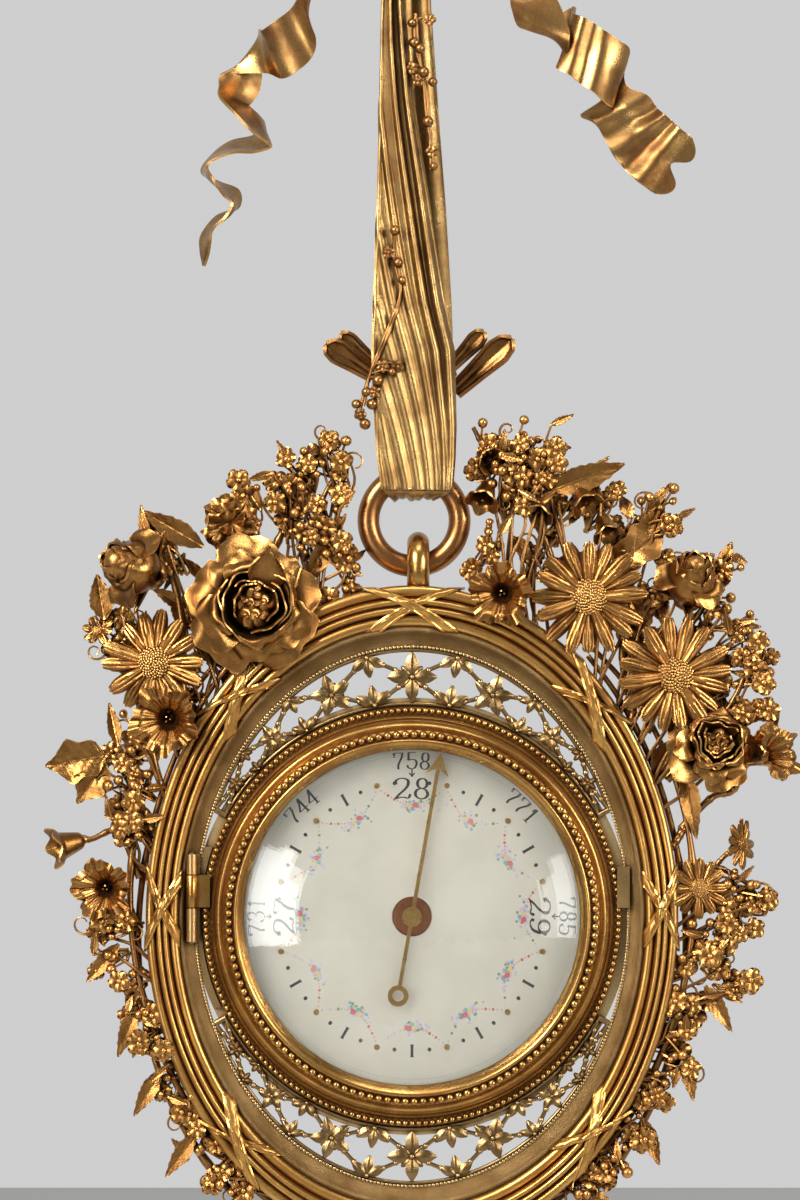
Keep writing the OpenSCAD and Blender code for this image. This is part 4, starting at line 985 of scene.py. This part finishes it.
def rose_petal_grid(foot, reach, height, spread, curl, ruffle, phase):
    """A petal that rises from the foot, with its rim rolled outwards and a valley down its middle."""
    v, u = axes(20, 23)
    side = np.radians(u * spread * (0.5 + 0.5 * np.sin(np.radians(150 * v + 10))))
    rim = smooth_step(0.62, 1, v)
    r = foot + reach * v**1.5 * (1 - 0.1 * u**4) + curl * rim * (1 + 0.3 * np.cos(2 * u + phase))
    r = r + ruffle * v**2 * (np.sin(4 * u + phase) + 0.5 * np.sin(9 * u + 3 * phase))
    z = height * np.sin(np.radians(108 * v))
    z = z - 1.3 * curl * rim**2 * (0.7 + 0.5 * np.cos(3 * u + phase))
    z = z + 0.8 * ruffle * v * np.cos(3 * u + 2 * phase) - 0.06 * reach * v * np.cos(np.pi * u)
    return around(r, side, z)


def add_cup(form, radius, height, opening, phase):
    """A curled petal that goes nearly all the way round, thin and ragged at its rim."""
    v = np.linspace(0, 1, 12)[:, None]
    a = np.linspace(opening, FULL_TURN - 0.2, 70)[None, :] + phase
    coil = 1 + 0.12 * (a - a[0, 0]) / 6
    ragged = 1 + 0.07 * np.sin(3 * a + phase) + 0.03 * np.sin(8 * a)
    r = radius * coil * (0.62 + 0.38 * v**0.7) * ragged
    z = height * v * (1 + 0.12 * np.sin(2 * a + phase) + 0.05 * np.sin(7 * a))
    add_sheet(form, around(r, a, z), 0.45)


def add_crumpled(form, at, radius, tall, rng):
    """A closed lump of petals, with folds that wind up to its top."""
    a = evenly_round(32)[None, :]
    b = np.linspace(-0.49, 0.49, 16)[:, None] * math.pi
    twist = a + 1.3 * b + rng.uniform(0, 6)
    fold = 1 + 0.16 * np.sin(3 * twist) + 0.07 * np.sin(7 * twist + 3 * b)
    points = around(fold * np.cos(b), a, tall * np.sin(b) * (1 + 0.1 * np.sin(3 * twist)))
    add_rings(form, points * radius + np.asarray(at, dtype=float))


def add_heart(form, radius, height, seed):
    """The closed middle of a rose: ragged cups one inside the other, filled with crumpled petals."""
    rng = random.Random(seed)
    cups = [(1.0, 0.84, 0.6), (0.86, 0.88, 1.0), (0.66, 0.94, 2.8), (0.56, 0.9, 3.6)]
    for share, tall, opening in cups:
        add_cup(form, radius * share, height * tall, opening, rng.uniform(0, 6))
    add_crumpled(form, (0, 0, height * 0.32), radius * 0.8, 0.75, rng)
    for k in range(6):
        a = FULL_TURN / 5 * k + rng.uniform(-0.3, 0.3)
        out = radius * 0.38 if k else 0
        at = around(out, a, height * rng.uniform(0.58, 0.66))
        add_crumpled(form, at, radius * rng.uniform(0.26, 0.38), 1.0, rng)


def add_rose(form, radius, height, seed):
    """Rings of rolled petals round a closed heart."""
    rng = random.Random(seed)

    # Each ring: how many petals, then their foot, reach, height, spread and curl
    rings = [(5, 0.34, 0.56, 0.42, 44, 0.10), (5, 0.38, 0.36, 0.62, 40, 0.10),
             (4, 0.44, 0.14, 0.8, 46, 0.06)]
    for k, (count, foot, reach, tall, spread, curl) in enumerate(rings):
        for i in range(count):
            out = reach * radius * rng.uniform(0.85, 1.1)
            half = spread * rng.uniform(0.9, 1.1)
            grid = rose_petal_grid(foot * radius, out, tall * height, half, curl * radius,
                                   PETAL_RUFFLE * radius, rng.uniform(0, 6))
            turn = 360 * (i + 0.45 * k) / count + rng.uniform(-12, 12)
            add_sheet(form, turned_grid(grid, turn), PETAL_THICK)
    add_heart(form, radius * 0.5, height, seed)


def bud_petal_grid(radius, length, spread, curl, phase):
    """A petal that wraps the bud and closes over it, with its rim rolled back a little."""
    v, u = axes(20, 25)
    side = np.radians(spread * u * (1 - 0.3 * v**3))
    rim = smooth_step(0.8, 1, v)
    r = radius * np.sin(np.pi * (0.1 + 0.78 * v)) ** 0.75 * (1 + 0.04 * v * np.sin(5 * u + phase))
    r = r + curl * rim * (1 + 0.4 * np.cos(2 * u + phase))
    z = length * v * (1 - 0.08 * u**2 + 0.03 * np.sin(4 * u + phase)) - 0.6 * curl * rim**2
    return around(r, side, z)


def add_rosebud(form, radius, length, seed):
    """A bud whose petals still wrap each other, in a few loose petals and five narrow sepals."""
    rng = random.Random(seed)
    add_crumpled(form, (0, 0, length * 0.52), radius * 0.4, length * 1.1 / radius, rng)
    add_ball(form, (0, 0, length * 0.8), radius * 0.36, 12)
    rings = [(3, 0.46, 1.04, 80, 0.05), (3, 0.56, 1.0, 72, 0.1), (4, 0.66, 0.9, 52, 0.2)]
    for k, (count, share, tall, spread, curl) in enumerate(rings):
        for i in range(count):
            phase = rng.uniform(0, 6)
            grid = bud_petal_grid(share * radius, tall * length, spread, curl * radius, phase)
            add_sheet(form, turned_grid(grid, 360 * (i + 0.4 * k) / count), PETAL_THICK)
    for i in range(3):
        grid = rose_petal_grid(0.36 * radius, 0.56 * radius, 0.6 * length, 42, 0.12 * radius,
                               0.03 * radius, rng.uniform(0, 6))
        add_sheet(form, turned_grid(grid, 120 * i + rng.uniform(-20, 20)), PETAL_THICK)
    shape = [0.9, 1, 0.8, 0.6, 0.35, 0.05]
    for i in range(5):
        grid = petal_grid(radius * 1.15, radius * 0.36, shape, (0.25, 0.1), 0.2)
        add_sheet(form, turned_grid(grid, 72 * i + 36), 0.5)
    add_ball(form, (0, 0, 0), radius * 0.42, 16, 0.7)


def add_blossom(form, radius, seed):
    """Five thick rounded petals round a knob."""
    rng = random.Random(seed)
    shape = [0.35, 0.75, 1, 1, 0.9, 0.6]
    for i in range(5):
        grid = petal_grid(radius, radius * 0.9, shape, (0.45, -0.35), cup=-0.28,
                          rows=5, cols=4, blunt=0.2)
        add_sheet(form, turned_grid(grid, 72 * i + rng.uniform(-5, 5)), radius * 0.24)
    add_ball(form, (0, 0, radius * 0.2), radius * 0.26, 8)


def add_bell(form, radius):
    """A hollow bell with three stamens, its mouth of five lobes towards z."""
    length = radius * 1.7
    v, u = axes(16, 41)
    a = math.pi * (1 + u)
    r = radius * np.interp(v, [0, 0.12, 0.5, 0.8, 1], [0.16, 0.4, 0.58, 0.72, 1.05])
    r = r * (1 + 0.08 * v**3 * np.cos(5 * a))
    z = length * (v + 0.1 * v**4 * np.cos(5 * a))
    add_sheet(form, around(r, a, z), radius * 0.1)
    add_ball(form, (0, 0, 0), radius * 0.26, 10)
    for k in range(3):
        add_tube(form, [(0, 0, length * 0.1), around(0.2, 2 * k, length * 0.9)], 0.22, 6)


def add_trumpet(form, radius, length, seed):
    """A fluted funnel that opens into five ruffled lobes."""
    rng = random.Random(seed)
    phase = rng.uniform(0, 6)
    v, u = axes(24, 111)
    a = math.pi * (1 + u)
    r = radius * np.interp(v, [0, 0.25, 0.5, 0.72, 1], [0.1, 0.2, 0.36, 0.64, 1.0])
    wide = v**3
    lobe = 0.1 * np.cos(5 * a + phase)
    r = r * (1 + 0.04 * np.cos(10 * a + phase) + wide * (lobe + 0.04 * np.cos(19 * a)))
    z = length * np.interp(v, [0, 0.5, 0.78, 1], [0, 0.66, 0.98, 1.0])
    z = z + radius * wide * (lobe + 0.1 * np.sin(10 * a + phase) + 0.05 * np.sin(24 * a))
    add_sheet(form, around(r, a, z), 0.5)
    add_ball(form, (0, 0, 0), radius * 0.18, 12)
    for k in range(3):
        tip = around(0.08 * radius, 2.1 * k + phase, length * 0.62)
        add_tube(form, [(0, 0, length * 0.2), tip], 0.25, 6)


def add_carnation(form, radius, height, seed):
    """Three rings of ruffled petals with toothed rims, on a cup."""
    rng = random.Random(seed)
    shape = [0.15, 0.3, 0.55, 0.85, 1.05, 1.1]
    for ring, (count, reach, lift) in enumerate([(6, 1.0, 0.15), (5, 0.76, 0.45), (3, 0.5, 0.9)]):
        for i in range(count):
            long = radius * reach * rng.uniform(0.82, 1.04)
            width = radius * 1.15 * reach ** 0.5
            grid = petal_grid(long, width, shape, (lift, -0.15), cup=0.08, notch=0.03,
                              rows=16, cols=25, teeth=3)
            grid = ruffled(grid, 0.15 * radius, rng.uniform(3.5, 5.5), rng.uniform(0, 6))
            turn = 360 * (i + 0.5 * ring) / count + rng.uniform(-14, 14)
            add_sheet(form, turned_grid(grid, turn, height * 0.5), 0.5)
    add_turned(form, [(0.01, 0), (1.6, 0), (3.4, height * 0.5), (0.01, height * 0.55)], 20)


def add_leaf(form, length, width, seed, lobes=0):
    """A folded leaf with side veins and a raised rib, its rim lobed or finely toothed."""
    rng = random.Random(seed)
    v, u = axes(18, 13)
    half = width / 2 * np.interp(v, [0, 0.12, 0.35, 0.6, 0.85, 1], [0.12, 0.55, 1, 0.85, 0.4, 0.02])
    half = half * (1 + (0.22 if lobes else 0.06) * np.sin(2 * math.pi * (lobes or 7) * v))
    fold = width * 0.16 * np.abs(u) * np.sin(np.pi * np.clip(v, 0.05, 0.98))
    vein = width * 0.02 * np.cos(2 * math.pi * (6 * v - 1.5 * np.abs(u)))
    z = fold + vein + length * (0.05 * np.sin(3 * v + rng.uniform(0, 3)) - 0.1 * v**2)
    add_sheet(form, grid_of(length * v, u * half, z), 0.5)
    rib = grid_of(length * v[:, 0] * 0.96, 0, z[:, 6] + 0.25)
    add_tube(form, rib, np.linspace(0.45, 0.15, 18), 6)


def flower_piece(name, node, made):
    """One piece for a flower node, by the place, turn, lean, kind and sizes of each flower."""
    form = Form()
    for place, turn, lean, add, *sizes in made:
        form.stand(place, turn, lean)
        add(form, *sizes)
    piece(name, form, [FLOWER], "medallion", [node])


def add_loose_petal(form):
    """The pointed petal that lies over the big rose."""
    add_sheet(form, petal_grid(13, 11, [0.5, 0.86, 1, 0.86, 0.5, 0.05], (0.1, -0.1), 0.22), 0.5)


flower_piece("rose_large", "large_rose", [
    ((-44.9, 89.4, 4), 20, 0, add_rose, 19.5, 15, 3),
    ((-41.5, 94, 14), 84, -24, add_loose_petal)])
flower_piece("rose_side", "side_rose", [
    ((85.5, 46.5, 2), 70, 24, add_rose, 13.5, 13, 5)])
flower_piece("buds_of_rose", "rosebuds", [
    ((-74, 98, 1), 160, 50, add_rosebud, 11.5, 17, 7),
    ((79, 91, 1), 80, 44, add_rosebud, 10.5, 16, 8)])
flower_piece("daisy_at_left", "daisy_left", [
    ((-73.6, 72.6, 5.2), 4, -8, add_daisy, 15.2, 14, 1)])
flower_piece("daisies_at_right", "daisies_right", [
    ((50.3, 91.4, 7.6), 0, 4, add_daisy, 17, 16, 2),
    ((74.9, 69.1, 7), 8, 8, add_daisy, 17, 16, 3)])
flower_piece("daisies_small", "small_daisies", [
    ((82, 8.3, 5), 0, 8, add_daisy, 9.2, 12, 9),
    ((94.5, 20.6, 2), 0, 56, add_daisy, 7.6, 11, 7),
    ((-90, 82, 1), 120, 40, add_daisy, 5, 8, 5)])
flower_piece("trumpets", "trumpet_flowers", [
    ((-68.3, 57.1, 2), 200, 14, add_trumpet, 9.6, 10, 28),
    ((-86, 9, 1), 200, 18, add_trumpet, 8.4, 9, 25),
    ((26.6, 93.1, 3), 210, 12, add_trumpet, 8.8, 9, 26),
    ((96, 44, 0), 20, 50, add_trumpet, 8, 12, 24)])
flower_piece("carnation_open", "carnation", [
    ((-51.7, 112.6, 0), 0, 0, add_carnation, 8.4, 7, 4)])
flower_piece("bells", "bellflowers", [
    ((-94, 22, 0), 196, 70, add_bell, 5.4),
    ((38, 121, 0), 250, 60, add_bell, 4.4),
    ((47, 123, 0), 300, 56, add_bell, 4.4),
    ((54, 115, 0), 290, 60, add_bell, 4.2),
    ((22, 124, 0), 250, 50, add_bell, 4.6),
    ((19.5, 133, 0), 320, 40, add_bell, 3.8)])

# Each leaf: its place, its turn, length and width
LEAVES = [
    ((-88, 46, 1), 190, 17, 13), ((-88, 44, 0), 236, 14, 10), ((-88, 85, 0), 100, 13, 7),
    ((-46, 76, 5), 250, 13, 6), ((-30, 96, 1), 60, 22, 6), ((-60, 106, 0), 150, 20, 7),
    ((-84, -8, 1), 230, 14, 5), ((-79, -26, 1), 250, 15, 5), ((-72, -44, 1), 240, 15, 5),
    ((-62, -62, 1), 236, 15, 5), ((-48, -80, 1), 225, 15, 5), ((58, 100, 0), 40, 20, 12),
    ((40, 122, 1), 20, 22, 8), ((66, 108, 0), 60, 13, 6), ((78, 42, 0), 280, 20, 6),
    ((74, 50, 1), 250, 13, 8), ((98, 46, 0), 60, 14, 6), ((86, 92, 0), 70, 16, 7),
    ((84, -20, 0), 300, 15, 5), ((78, -38, 0), 280, 15, 5), ((66, -58, 0), 290, 14, 5),
    ((52, -78, 0), 300, 14, 5), ((30, -94, 0), 330, 14, 5), ((-30, -94, 0), 210, 14, 5)]


def leaves_form():
    """The wreath's single leaves; the broad ones are lobed."""
    form = Form()
    for k, (place, turn, length, width) in enumerate(LEAVES):
        form.stand(place, turn, -8)
        add_leaf(form, length, width, k, 2 if width >= 10 else 0)
    return form


piece("leaves", leaves_form(), [FLOWER], "medallion", ["wreath_leaves"])

# Where the small flowers, the berries and the filling behind the big flowers stand
LEFT_BLOSSOMS = [
    (-23.7, 136), (-35, 124), (-29, 118), (-21, 127), (-27, 113), (-19.2, 101), (-23.7, 91),
    (-84, 32), (-80, 24), (-90, -4), (-81, -20), (-74, -37), (-66, -56), (-54, -73)]
LEFT_BERRIES = [
    (-38.3, 117), (-31, 130), (-18.6, 108), (-30, 108), (-84, 39), (-79, 36), (-80, 30),
    (-85, 26), (-83, -3), (-87, -11), (-78, -28), (-76, -32), (-70, -46), (-60, -66),
    (-48, -80), (-38, -88), (-24, -97), (-10, -99)]
RIGHT_BLOSSOMS = [
    (20.9, 134), (30, 128), (36, 131), (28.6, 122), (36, 124), (19.4, 107), (93, 81),
    (98, 71), (99, 59), (98, 3), (93.7, -5), (88, -15), (80, -25), (93, -21),
    (75, -35), (69, -50), (63, -63), (53, -73)]
RIGHT_BERRIES = [
    (25.4, 137), (34, 136), (71, 117), (88, 97), (90, 88), (97, 9), (92, 8), (84, -5),
    (81, -12), (87, -8), (76, -28), (78, -42), (70, -45), (65, -57), (58, -69),
    (48, -80), (38, -88), (24, -97), (10, -99)]
LEFT_FILL = [
    (-70, 106), (-62, 88), (-83, 86), (-57, 75), (-87, 77), (-65, 62), (-80, 51), (-50, 119)]
RIGHT_FILL = [
    (42, 118), (54, 119), (64, 109), (69, 91), (82, 80), (88, 65), (65, 79), (35, 103), (57, 91),
    (78, 98)]

# How far flowers and tendrils are kept from the ring's middle, and the bounds of their places
RING_CLEAR = 21.5
TENDRIL_LEFT, TENDRIL_RIGHT, TENDRIL_LOW = -103, 107, -100
SPRAY_LOW, SPRAY_HIGH = (-102, -98), (105, 142)


def clear_of_ring(points):
    """The points, pushed outwards where they come too near the ring."""
    away = points[..., :2] - (RING_X, RING_Y)
    far = np.linalg.norm(away, axis=-1, keepdims=True)
    points[..., :2] += away * np.maximum(RING_CLEAR / np.maximum(far, 1) - 1, 0)
    return points


def add_tendril(form, foot, rng):
    """A thin wire that wanders off and curls up at its end."""
    a = rng.uniform(0, FULL_TURN)
    turn = rng.choice([-1, 1]) * rng.uniform(0.25, 0.5)
    step = rng.uniform(0.9, 1.3)
    path = [np.asarray(foot, dtype=float)]
    for k in range(12):
        a += turn * (0.3 + 0.16 * k)
        path.append(path[-1] + around(step, a, rng.uniform(-0.3, 0.35)))
    path = np.array(path)
    path[:, 0] = np.clip(path[:, 0], TENDRIL_LEFT, TENDRIL_RIGHT)
    path[:, 1] = np.maximum(path[:, 1], TENDRIL_LOW)
    add_tube(form, clear_of_ring(path), np.linspace(0.42, 0.22, len(path)), 6)


def stray(rng, x, y, low, high):
    """A random way to go: up to x and y to both sides, and from low to high in depth."""
    return (rng.uniform(-x, x), rng.uniform(-y, y), rng.uniform(low, high))


def add_berry(form, rng):
    """A berry with its calyx under it."""
    add_ball(form, (0, 0, 0), rng.uniform(1.0, 1.8), 10, 1.2)
    add_turned(form, [(0.01, -2.0), (0.7, -1.9), (0.9, -0.8), (0.01, -0.6)], 8)


def sprays_form(blossoms, berries, fill, seed):
    """Small flowers and berries on bent twigs, with lesser buds, leaflets and tendrils beside them.
    The fill stands behind the big flowers and has more leaves."""
    rng = random.Random(seed)
    form = Form()
    for k, (x, y) in enumerate(blossoms + berries + fill):
        behind = k >= len(blossoms + berries)
        open_places = range(4) if k < len(blossoms) or behind else (1,)
        high = y > 80 or behind
        reach = 7.0 if high else 4.8
        top = np.array([x, y, -2.0 if behind else 2.2])
        for j in range(9 if high else 6):
            spot = top + ((0, 0, 0) if j == 0 else stray(rng, reach, reach, -2.5, 3))
            spot[:2] = np.clip(spot[:2], SPRAY_LOW, SPRAY_HIGH)
            spot = clear_of_ring(spot)
            form.stand(spot, rng.uniform(0, 360), rng.uniform(-35, 35))
            if j in open_places:
                add_blossom(form, rng.uniform(2.7, 3.9), k)
            elif behind and j < 7:
                add_leaf(form, rng.uniform(9, 14), rng.uniform(3.2, 4.6), k)
            elif j == 4:
                add_leaf(form, rng.uniform(5, 8), rng.uniform(1.8, 2.8), k)
            else:
                add_berry(form, rng)
            form.stand()
            foot = top * (0.93, 0.93, 0) + (rng.uniform(-1, 1), rng.uniform(-1, 1), -0.5)
            bend = mix(foot, spot, 0.5) + stray(rng, 2, 2, -1, 1)
            add_tube(form, spline([foot, bend, spot], 8), np.linspace(0.45, 0.32, 8), 6)
        add_tendril(form, top - (0, 0, 1), rng)
    return form


def twigs_form():
    """A bent twig from the moulding out to each small flower, berry and filling."""
    form = Form()
    rng = random.Random(9)
    small_flowers = LEFT_BLOSSOMS + LEFT_BERRIES + RIGHT_BLOSSOMS + RIGHT_BERRIES
    for x, y in small_flowers + LEFT_FILL + RIGHT_FILL:
        foot = oval_at(math.degrees(math.atan2(y, x)) - 7.5 * math.copysign(1, x), 4, 2.3)
        tip = np.array([x, y, 2.1])
        path = [foot]
        for share in (0.35, 0.7):
            path.append(mix(foot, tip, share) + stray(rng, 3, 2, -1.5, 1))
        add_tube(form, spline(path + [tip], 18), np.linspace(0.6, 0.4, 18), 7)
    return form


left_spray = sprays_form(LEFT_BLOSSOMS, LEFT_BERRIES, LEFT_FILL, 1)
right_spray = sprays_form(RIGHT_BLOSSOMS, RIGHT_BERRIES, RIGHT_FILL, 2)
piece("spray_left", left_spray, [FLOWER], "medallion", ["blossoms_left"])
piece("spray_right", right_spray, [FLOWER], "medallion", ["blossoms_right"])
piece("twigs", twigs_form(), [TWIG], "medallion", ["blossom_twigs"])


def add_stem(form, points, radius, taper=1.0):
    """A stem bent through the points, thinner to its end, with a swollen joint here and there."""
    path = spline(points, 10 * len(points))
    t = np.linspace(0, 1, len(path))
    joint = 0.3 * np.exp(-(((5 * t) % 1 - 0.5) / 0.08) ** 2)
    add_tube(form, path, radius * mix(1, taper, t) * (1 + joint), 9)


def stems_form(side, branches):
    """Two stems that wind round each other, props from the moulding to them, and the branches."""
    form = Form()

    def on_side(angle):
        return angle if side > 0 else 180 - angle

    t = np.linspace(0, 1, 23)
    for half_turn in (0, math.pi):
        a = np.radians(330 * t) + half_turn
        path = oval_at(on_side(-96 + 152 * t), 9 + 2.6 * np.sin(a), -0.5 + 2 * np.cos(a))
        add_stem(form, path, 1.3, 0.6)
    for angle in (-70, -42, -14, 14, 40):
        prop = [(angle, 3, 1.6), (angle + 2, 7, 1.2), (angle + 4, 10, 0.5)]
        add_stem(form, [oval_at(on_side(turn), out, z) for turn, out, z in prop], 1.2)
    for (turn, out, z), others, radius, taper in branches:
        add_stem(form, [oval_at(turn, out, z), *others], radius, taper)
    return form


# Each branch: its start as angle, out and z, the points it bends through, its radius and taper
LEFT_BRANCHES = [
    ((124, 9, -1), [(-40, 104, -2), (-34, 116, -1), (-28, 128, 0), (-23, 137, 1)], 1.3, 0.5),
    ((124, 9, 0), [(-30, 100, 0), (-22, 106, 0), (-26, 117, 1), (-21, 128, 1)], 1.1, 0.6),
    ((140, 9, 0), [(-66, 84, -1), (-70, 100, 0), (-77, 104, 1)], 1.2, 0.8),
    ((152, 8, 0), [(-80, 66, 0), (-88, 80, 1), (-91, 86, 1)], 1.1, 0.6),
    ((160, 8, 0), [(-85, 44, -1), (-92, 38, 0), (-98, 44, 1)], 1.1, 0.6),
    ((172, 8, 0), [(-84, 24, -1), (-92, 22, 0), (-100, 21, 1)], 1.1, 0.6),
    ((184, 8, 0), [(-82, 4, -1), (-89, 0, 0), (-92, -6, 1)], 1.1, 0.6)]
RIGHT_BRANCHES = [
    ((60, 9, -1), [(38, 108, -2), (30, 122, -1), (22, 132, 0), (17.5, 140, 1)], 1.3, 0.5),
    ((56, 9, 0), [(44, 104, 0), (40, 118, 0), (38, 130, 1)], 1.1, 0.6),
    ((46, 9, 0), [(60, 96, -1), (68, 108, 0), (71, 117, 1)], 1.1, 0.8),
    ((38, 9, 0), [(78, 80, -1), (84, 90, 0), (86, 104, 1)], 1.2, 0.6),
    ((28, 9, 0), [(88, 56, 0), (94, 66, 1), (97, 76, 1)], 1.1, 0.6),
    ((18, 9, 0), [(86, 34, -1), (92, 36, -1), (96, 44, -0.5)], 1.1, 0.8),
    ((9, 9, 0), [(86, 14, -1), (90, 17.5, -1), (94.3, 20.6, 1.7)], 0.9, 0.7),
    ((8, 9, 0), [(86, 14, -1), (92, 12, 0), (98, 8, 1)], 1.1, 0.6),
    ((-6, 9, 0), [(84, -10, -1), (89, -16, 0), (93, -23, 1)], 1.1, 0.6)]

left_stems = stems_form(-1, LEFT_BRANCHES)
right_stems = stems_form(1, RIGHT_BRANCHES)
piece("stems_left", left_stems, [TWIG], "medallion", ["wreath_stems_left"])
piece("stems_right", right_stems, [TWIG], "medallion", ["wreath_stems_right"])


# Each cut stem: its tip and foot, as x and y in pixels of the picture and z, and its width
CUT_STEMS = [
    ((325, 342, -9), (374, 374, -10), 6.6), ((340, 331, -10.4), (376, 362, -11), 4.6),
    ((513, 336, -9.2), (455, 390, -10.6), 7.4), ((485, 329, -10.6), (452, 364, -11), 5.0)]


def cut_stems_form():
    """Stems that stick out behind the strap, each cut open at its end like a spoon."""
    form = Form()
    for tip, foot, width in CUT_STEMS:
        a, b = np.array(from_pixel(*foot)), np.array(from_pixel(*tip))
        way = unit(b - a)
        side = unit(np.cross(way, (0, 0, 1)))
        v = np.linspace(0, 1, 22)[:, None, None]
        u = np.linspace(-1, 1, 15)[None, :, None]
        half = width / 2 * np.interp(v, [0, 0.4, 0.75, 0.92, 1], [0.55, 0.75, 1, 0.75, 0.12])
        dip = np.array([0, 0, 1]) * (0.9 * u**2 - 0.25 * np.cos(9 * u) * (1 - v)) * width * 0.22
        add_sheet(form, a + v * (b - a) + u * half * side + dip, 1.1)
    for side in (-1, 1):
        path = [(side * 12, 155, -10.5), (side * 6, 175, -11), (side * 3, 200, -11.5)]
        add_tube(form, spline(path, 16), np.linspace(1.2, 0.6, 16), 8)
    return form


def lie_on_strap(x, y):
    """The height of the strap's front at a place, or of its edge beside it."""
    left, right = np.interp(y, *STRAP_LEFT), np.interp(y, *STRAP_RIGHT)
    u = np.clip((x - left) / (right - left), 0.0, 1.0)
    return strap_front(u, y)[1] + 0.45


# The twigs on the strap as x and y, and their buds and blossoms in pixels of the picture
LOW_TWIG = [(-4.9, 196), (-5, 188), (-3.4, 178), (-7, 166), (-12, 155), (-14.6, 146)]
HIGH_TWIG = [(1, 259), (1, 250), (4, 238), (5, 226), (5.5, 214)]
LOW_BUDS = [
    (395, 230), (388, 252), (398, 262), (402, 280), (383, 366), (392, 372), (378, 380), (398, 366),
    (366, 392), (372, 404), (360, 414), (365, 424), (356, 404), (374, 392)]
HIGH_BUDS = [
    (412, 20), (430, 17), (414, 40), (420, 46), (412, 66), (424, 70), (433, 80), (418, 78),
    (434, 165), (428, 120), (432, 150)]


def sprig_form():
    """Twigs that climb the strap, with buds and five-petalled blossoms."""
    rng = random.Random(21)
    form = Form()
    low = spline([(x, y, 0) for x, y in LOW_TWIG], 40)
    high = spline([(x, y, 0) for x, y in HIGH_TWIG], 40)
    for path in (low, high):
        path[:, 2] = lie_on_strap(path[:, 0], path[:, 1]) + 0.35
        add_tube(form, path, 0.55, 8)
        add_tube(form, path + grid_of(0.8 * np.sin(np.arange(40) / 5), 0, 0.3), 0.4, 8)
    for spots, path in ((LOW_BUDS, low), (HIGH_BUDS, high)):
        for k, (px, py) in enumerate(spots):
            x, y, z = from_pixel(px, py, 0)
            z = lie_on_strap(x, y) + 1.0
            foot = path[np.argmin(np.abs(path[:, 1] - y))]
            bend = mix(foot, np.array([x, y, z]), 0.6) + (0, 0.8, 0)
            form.stand()
            add_tube(form, spline([foot, bend, (x, y, z)], 8), 0.32, 6)
            form.stand((x, y, z), rng.uniform(0, 360), rng.uniform(-30, 30))
            if k % 3 == 1:
                add_blossom(form, 1.9, k)
            else:
                add_ball(form, (0, 0, 0), rng.uniform(1.2, 1.7), 12, 1.1)
    form.stand()
    return form


piece("stems_cut", cut_stems_form(), [TWIG], "suspension", ["cut_stems"])
piece("sprig", sprig_form(), [TWIG], "suspension", ["strap_sprig"])


# Light, floor and camera

LAMP_SPREAD = math.radians(60)


def area_light(name, place, aim, size, power, colour=(1, 1, 1)):
    """A lamp of a width and height, aimed at a point."""
    lamp = bpy.data.lights.new(name, "AREA")
    lamp.shape = "RECTANGLE"
    lamp.size, lamp.size_y = size
    lamp.energy = power
    lamp.color = colour
    lamp.spread = LAMP_SPREAD
    made = put(name, lamp)
    made.location = place
    made.rotation_euler = (Vector(aim) - Vector(place)).to_track_quat("-Z", "Y").to_euler()


def pale_room():
    """The surroundings: pale behind the object and dimmer in front, so that gilding has contrast."""
    room = bpy.data.worlds.new("pale_room")
    bpy.context.scene.world = room
    room.use_nodes = True
    tree = room.node_tree
    coords = tree.nodes.new("ShaderNodeTexCoord")
    split = tree.nodes.new("ShaderNodeSeparateXYZ")
    tree.links.new(coords.outputs["Generated"], split.inputs["Vector"])
    shade = tree.nodes.new("ShaderNodeMapRange")
    shade.inputs["From Min"].default_value = -0.5
    shade.inputs["From Max"].default_value = 0.6
    shade.inputs["To Min"].default_value = 0.28
    shade.inputs["To Max"].default_value = 0.62
    tree.links.new(split.outputs["Y"], shade.inputs["Value"])
    tree.links.new(shade.outputs["Result"], tree.nodes["Background"].inputs["Strength"])
    tree.nodes["Background"].inputs["Color"].default_value = (1, 1, 1, 1)


def studio():
    """Two lamps and one from above, two soft windows that the dial reflects, and a pale floor."""
    middle = (0, 0, -0.25)
    dial = (0, 0, -0.296)
    area_light("key_lamp", (-0.8, -1.0, 0.45), middle, (0.5, 0.5), 3.6, (1, 0.97, 0.93))
    area_light("fill_lamp", (1.2, -0.9, 0.1), middle, (0.4, 0.7), 2.2, (1, 0.98, 0.95))
    area_light("top_lamp", (0.1, -0.6, 1.1), middle, (0.8, 0.3), 0.85)
    area_light("left_window", (-0.77, -1.2, -0.27), dial, (0.34, 0.52), 0.5)
    area_light("right_window", (0.82, -1.2, -0.27), dial, (0.18, 0.44), 0.14)
    pale_room()
    bpy.ops.mesh.primitive_plane_add(size=4, location=(0, 0, -0.6))
    floor = bpy.context.object
    floor.name = "floor"
    material, _, shader = nodes_of("pale_floor")
    shader.inputs["Base Color"].default_value = (0.72, 0.72, 0.71, 1)
    shader.inputs["Roughness"].default_value = 0.9
    floor.data.materials.append(material)


def camera():
    """A camera that shows the object in the picture's scale and place."""
    data = bpy.data.cameras.new("camera")
    distance = 1.5
    sensor = 36
    wide, high = PICTURE_SIZE
    data.sensor_width = sensor
    data.lens = sensor * distance / (high / PIXELS_PER_MM / 1000)
    data.clip_end = 20
    made = put("camera", data)
    aim = from_pixel(wide / 2, high / 2, 4)
    made.location = Vector(world([aim])[0]) - Vector((0, distance, 0))
    made.rotation_euler = (math.radians(90), 0, 0)
    bpy.context.scene.camera = made


studio()
camera()
bpy.context.scene.view_settings.view_transform = "Standard"
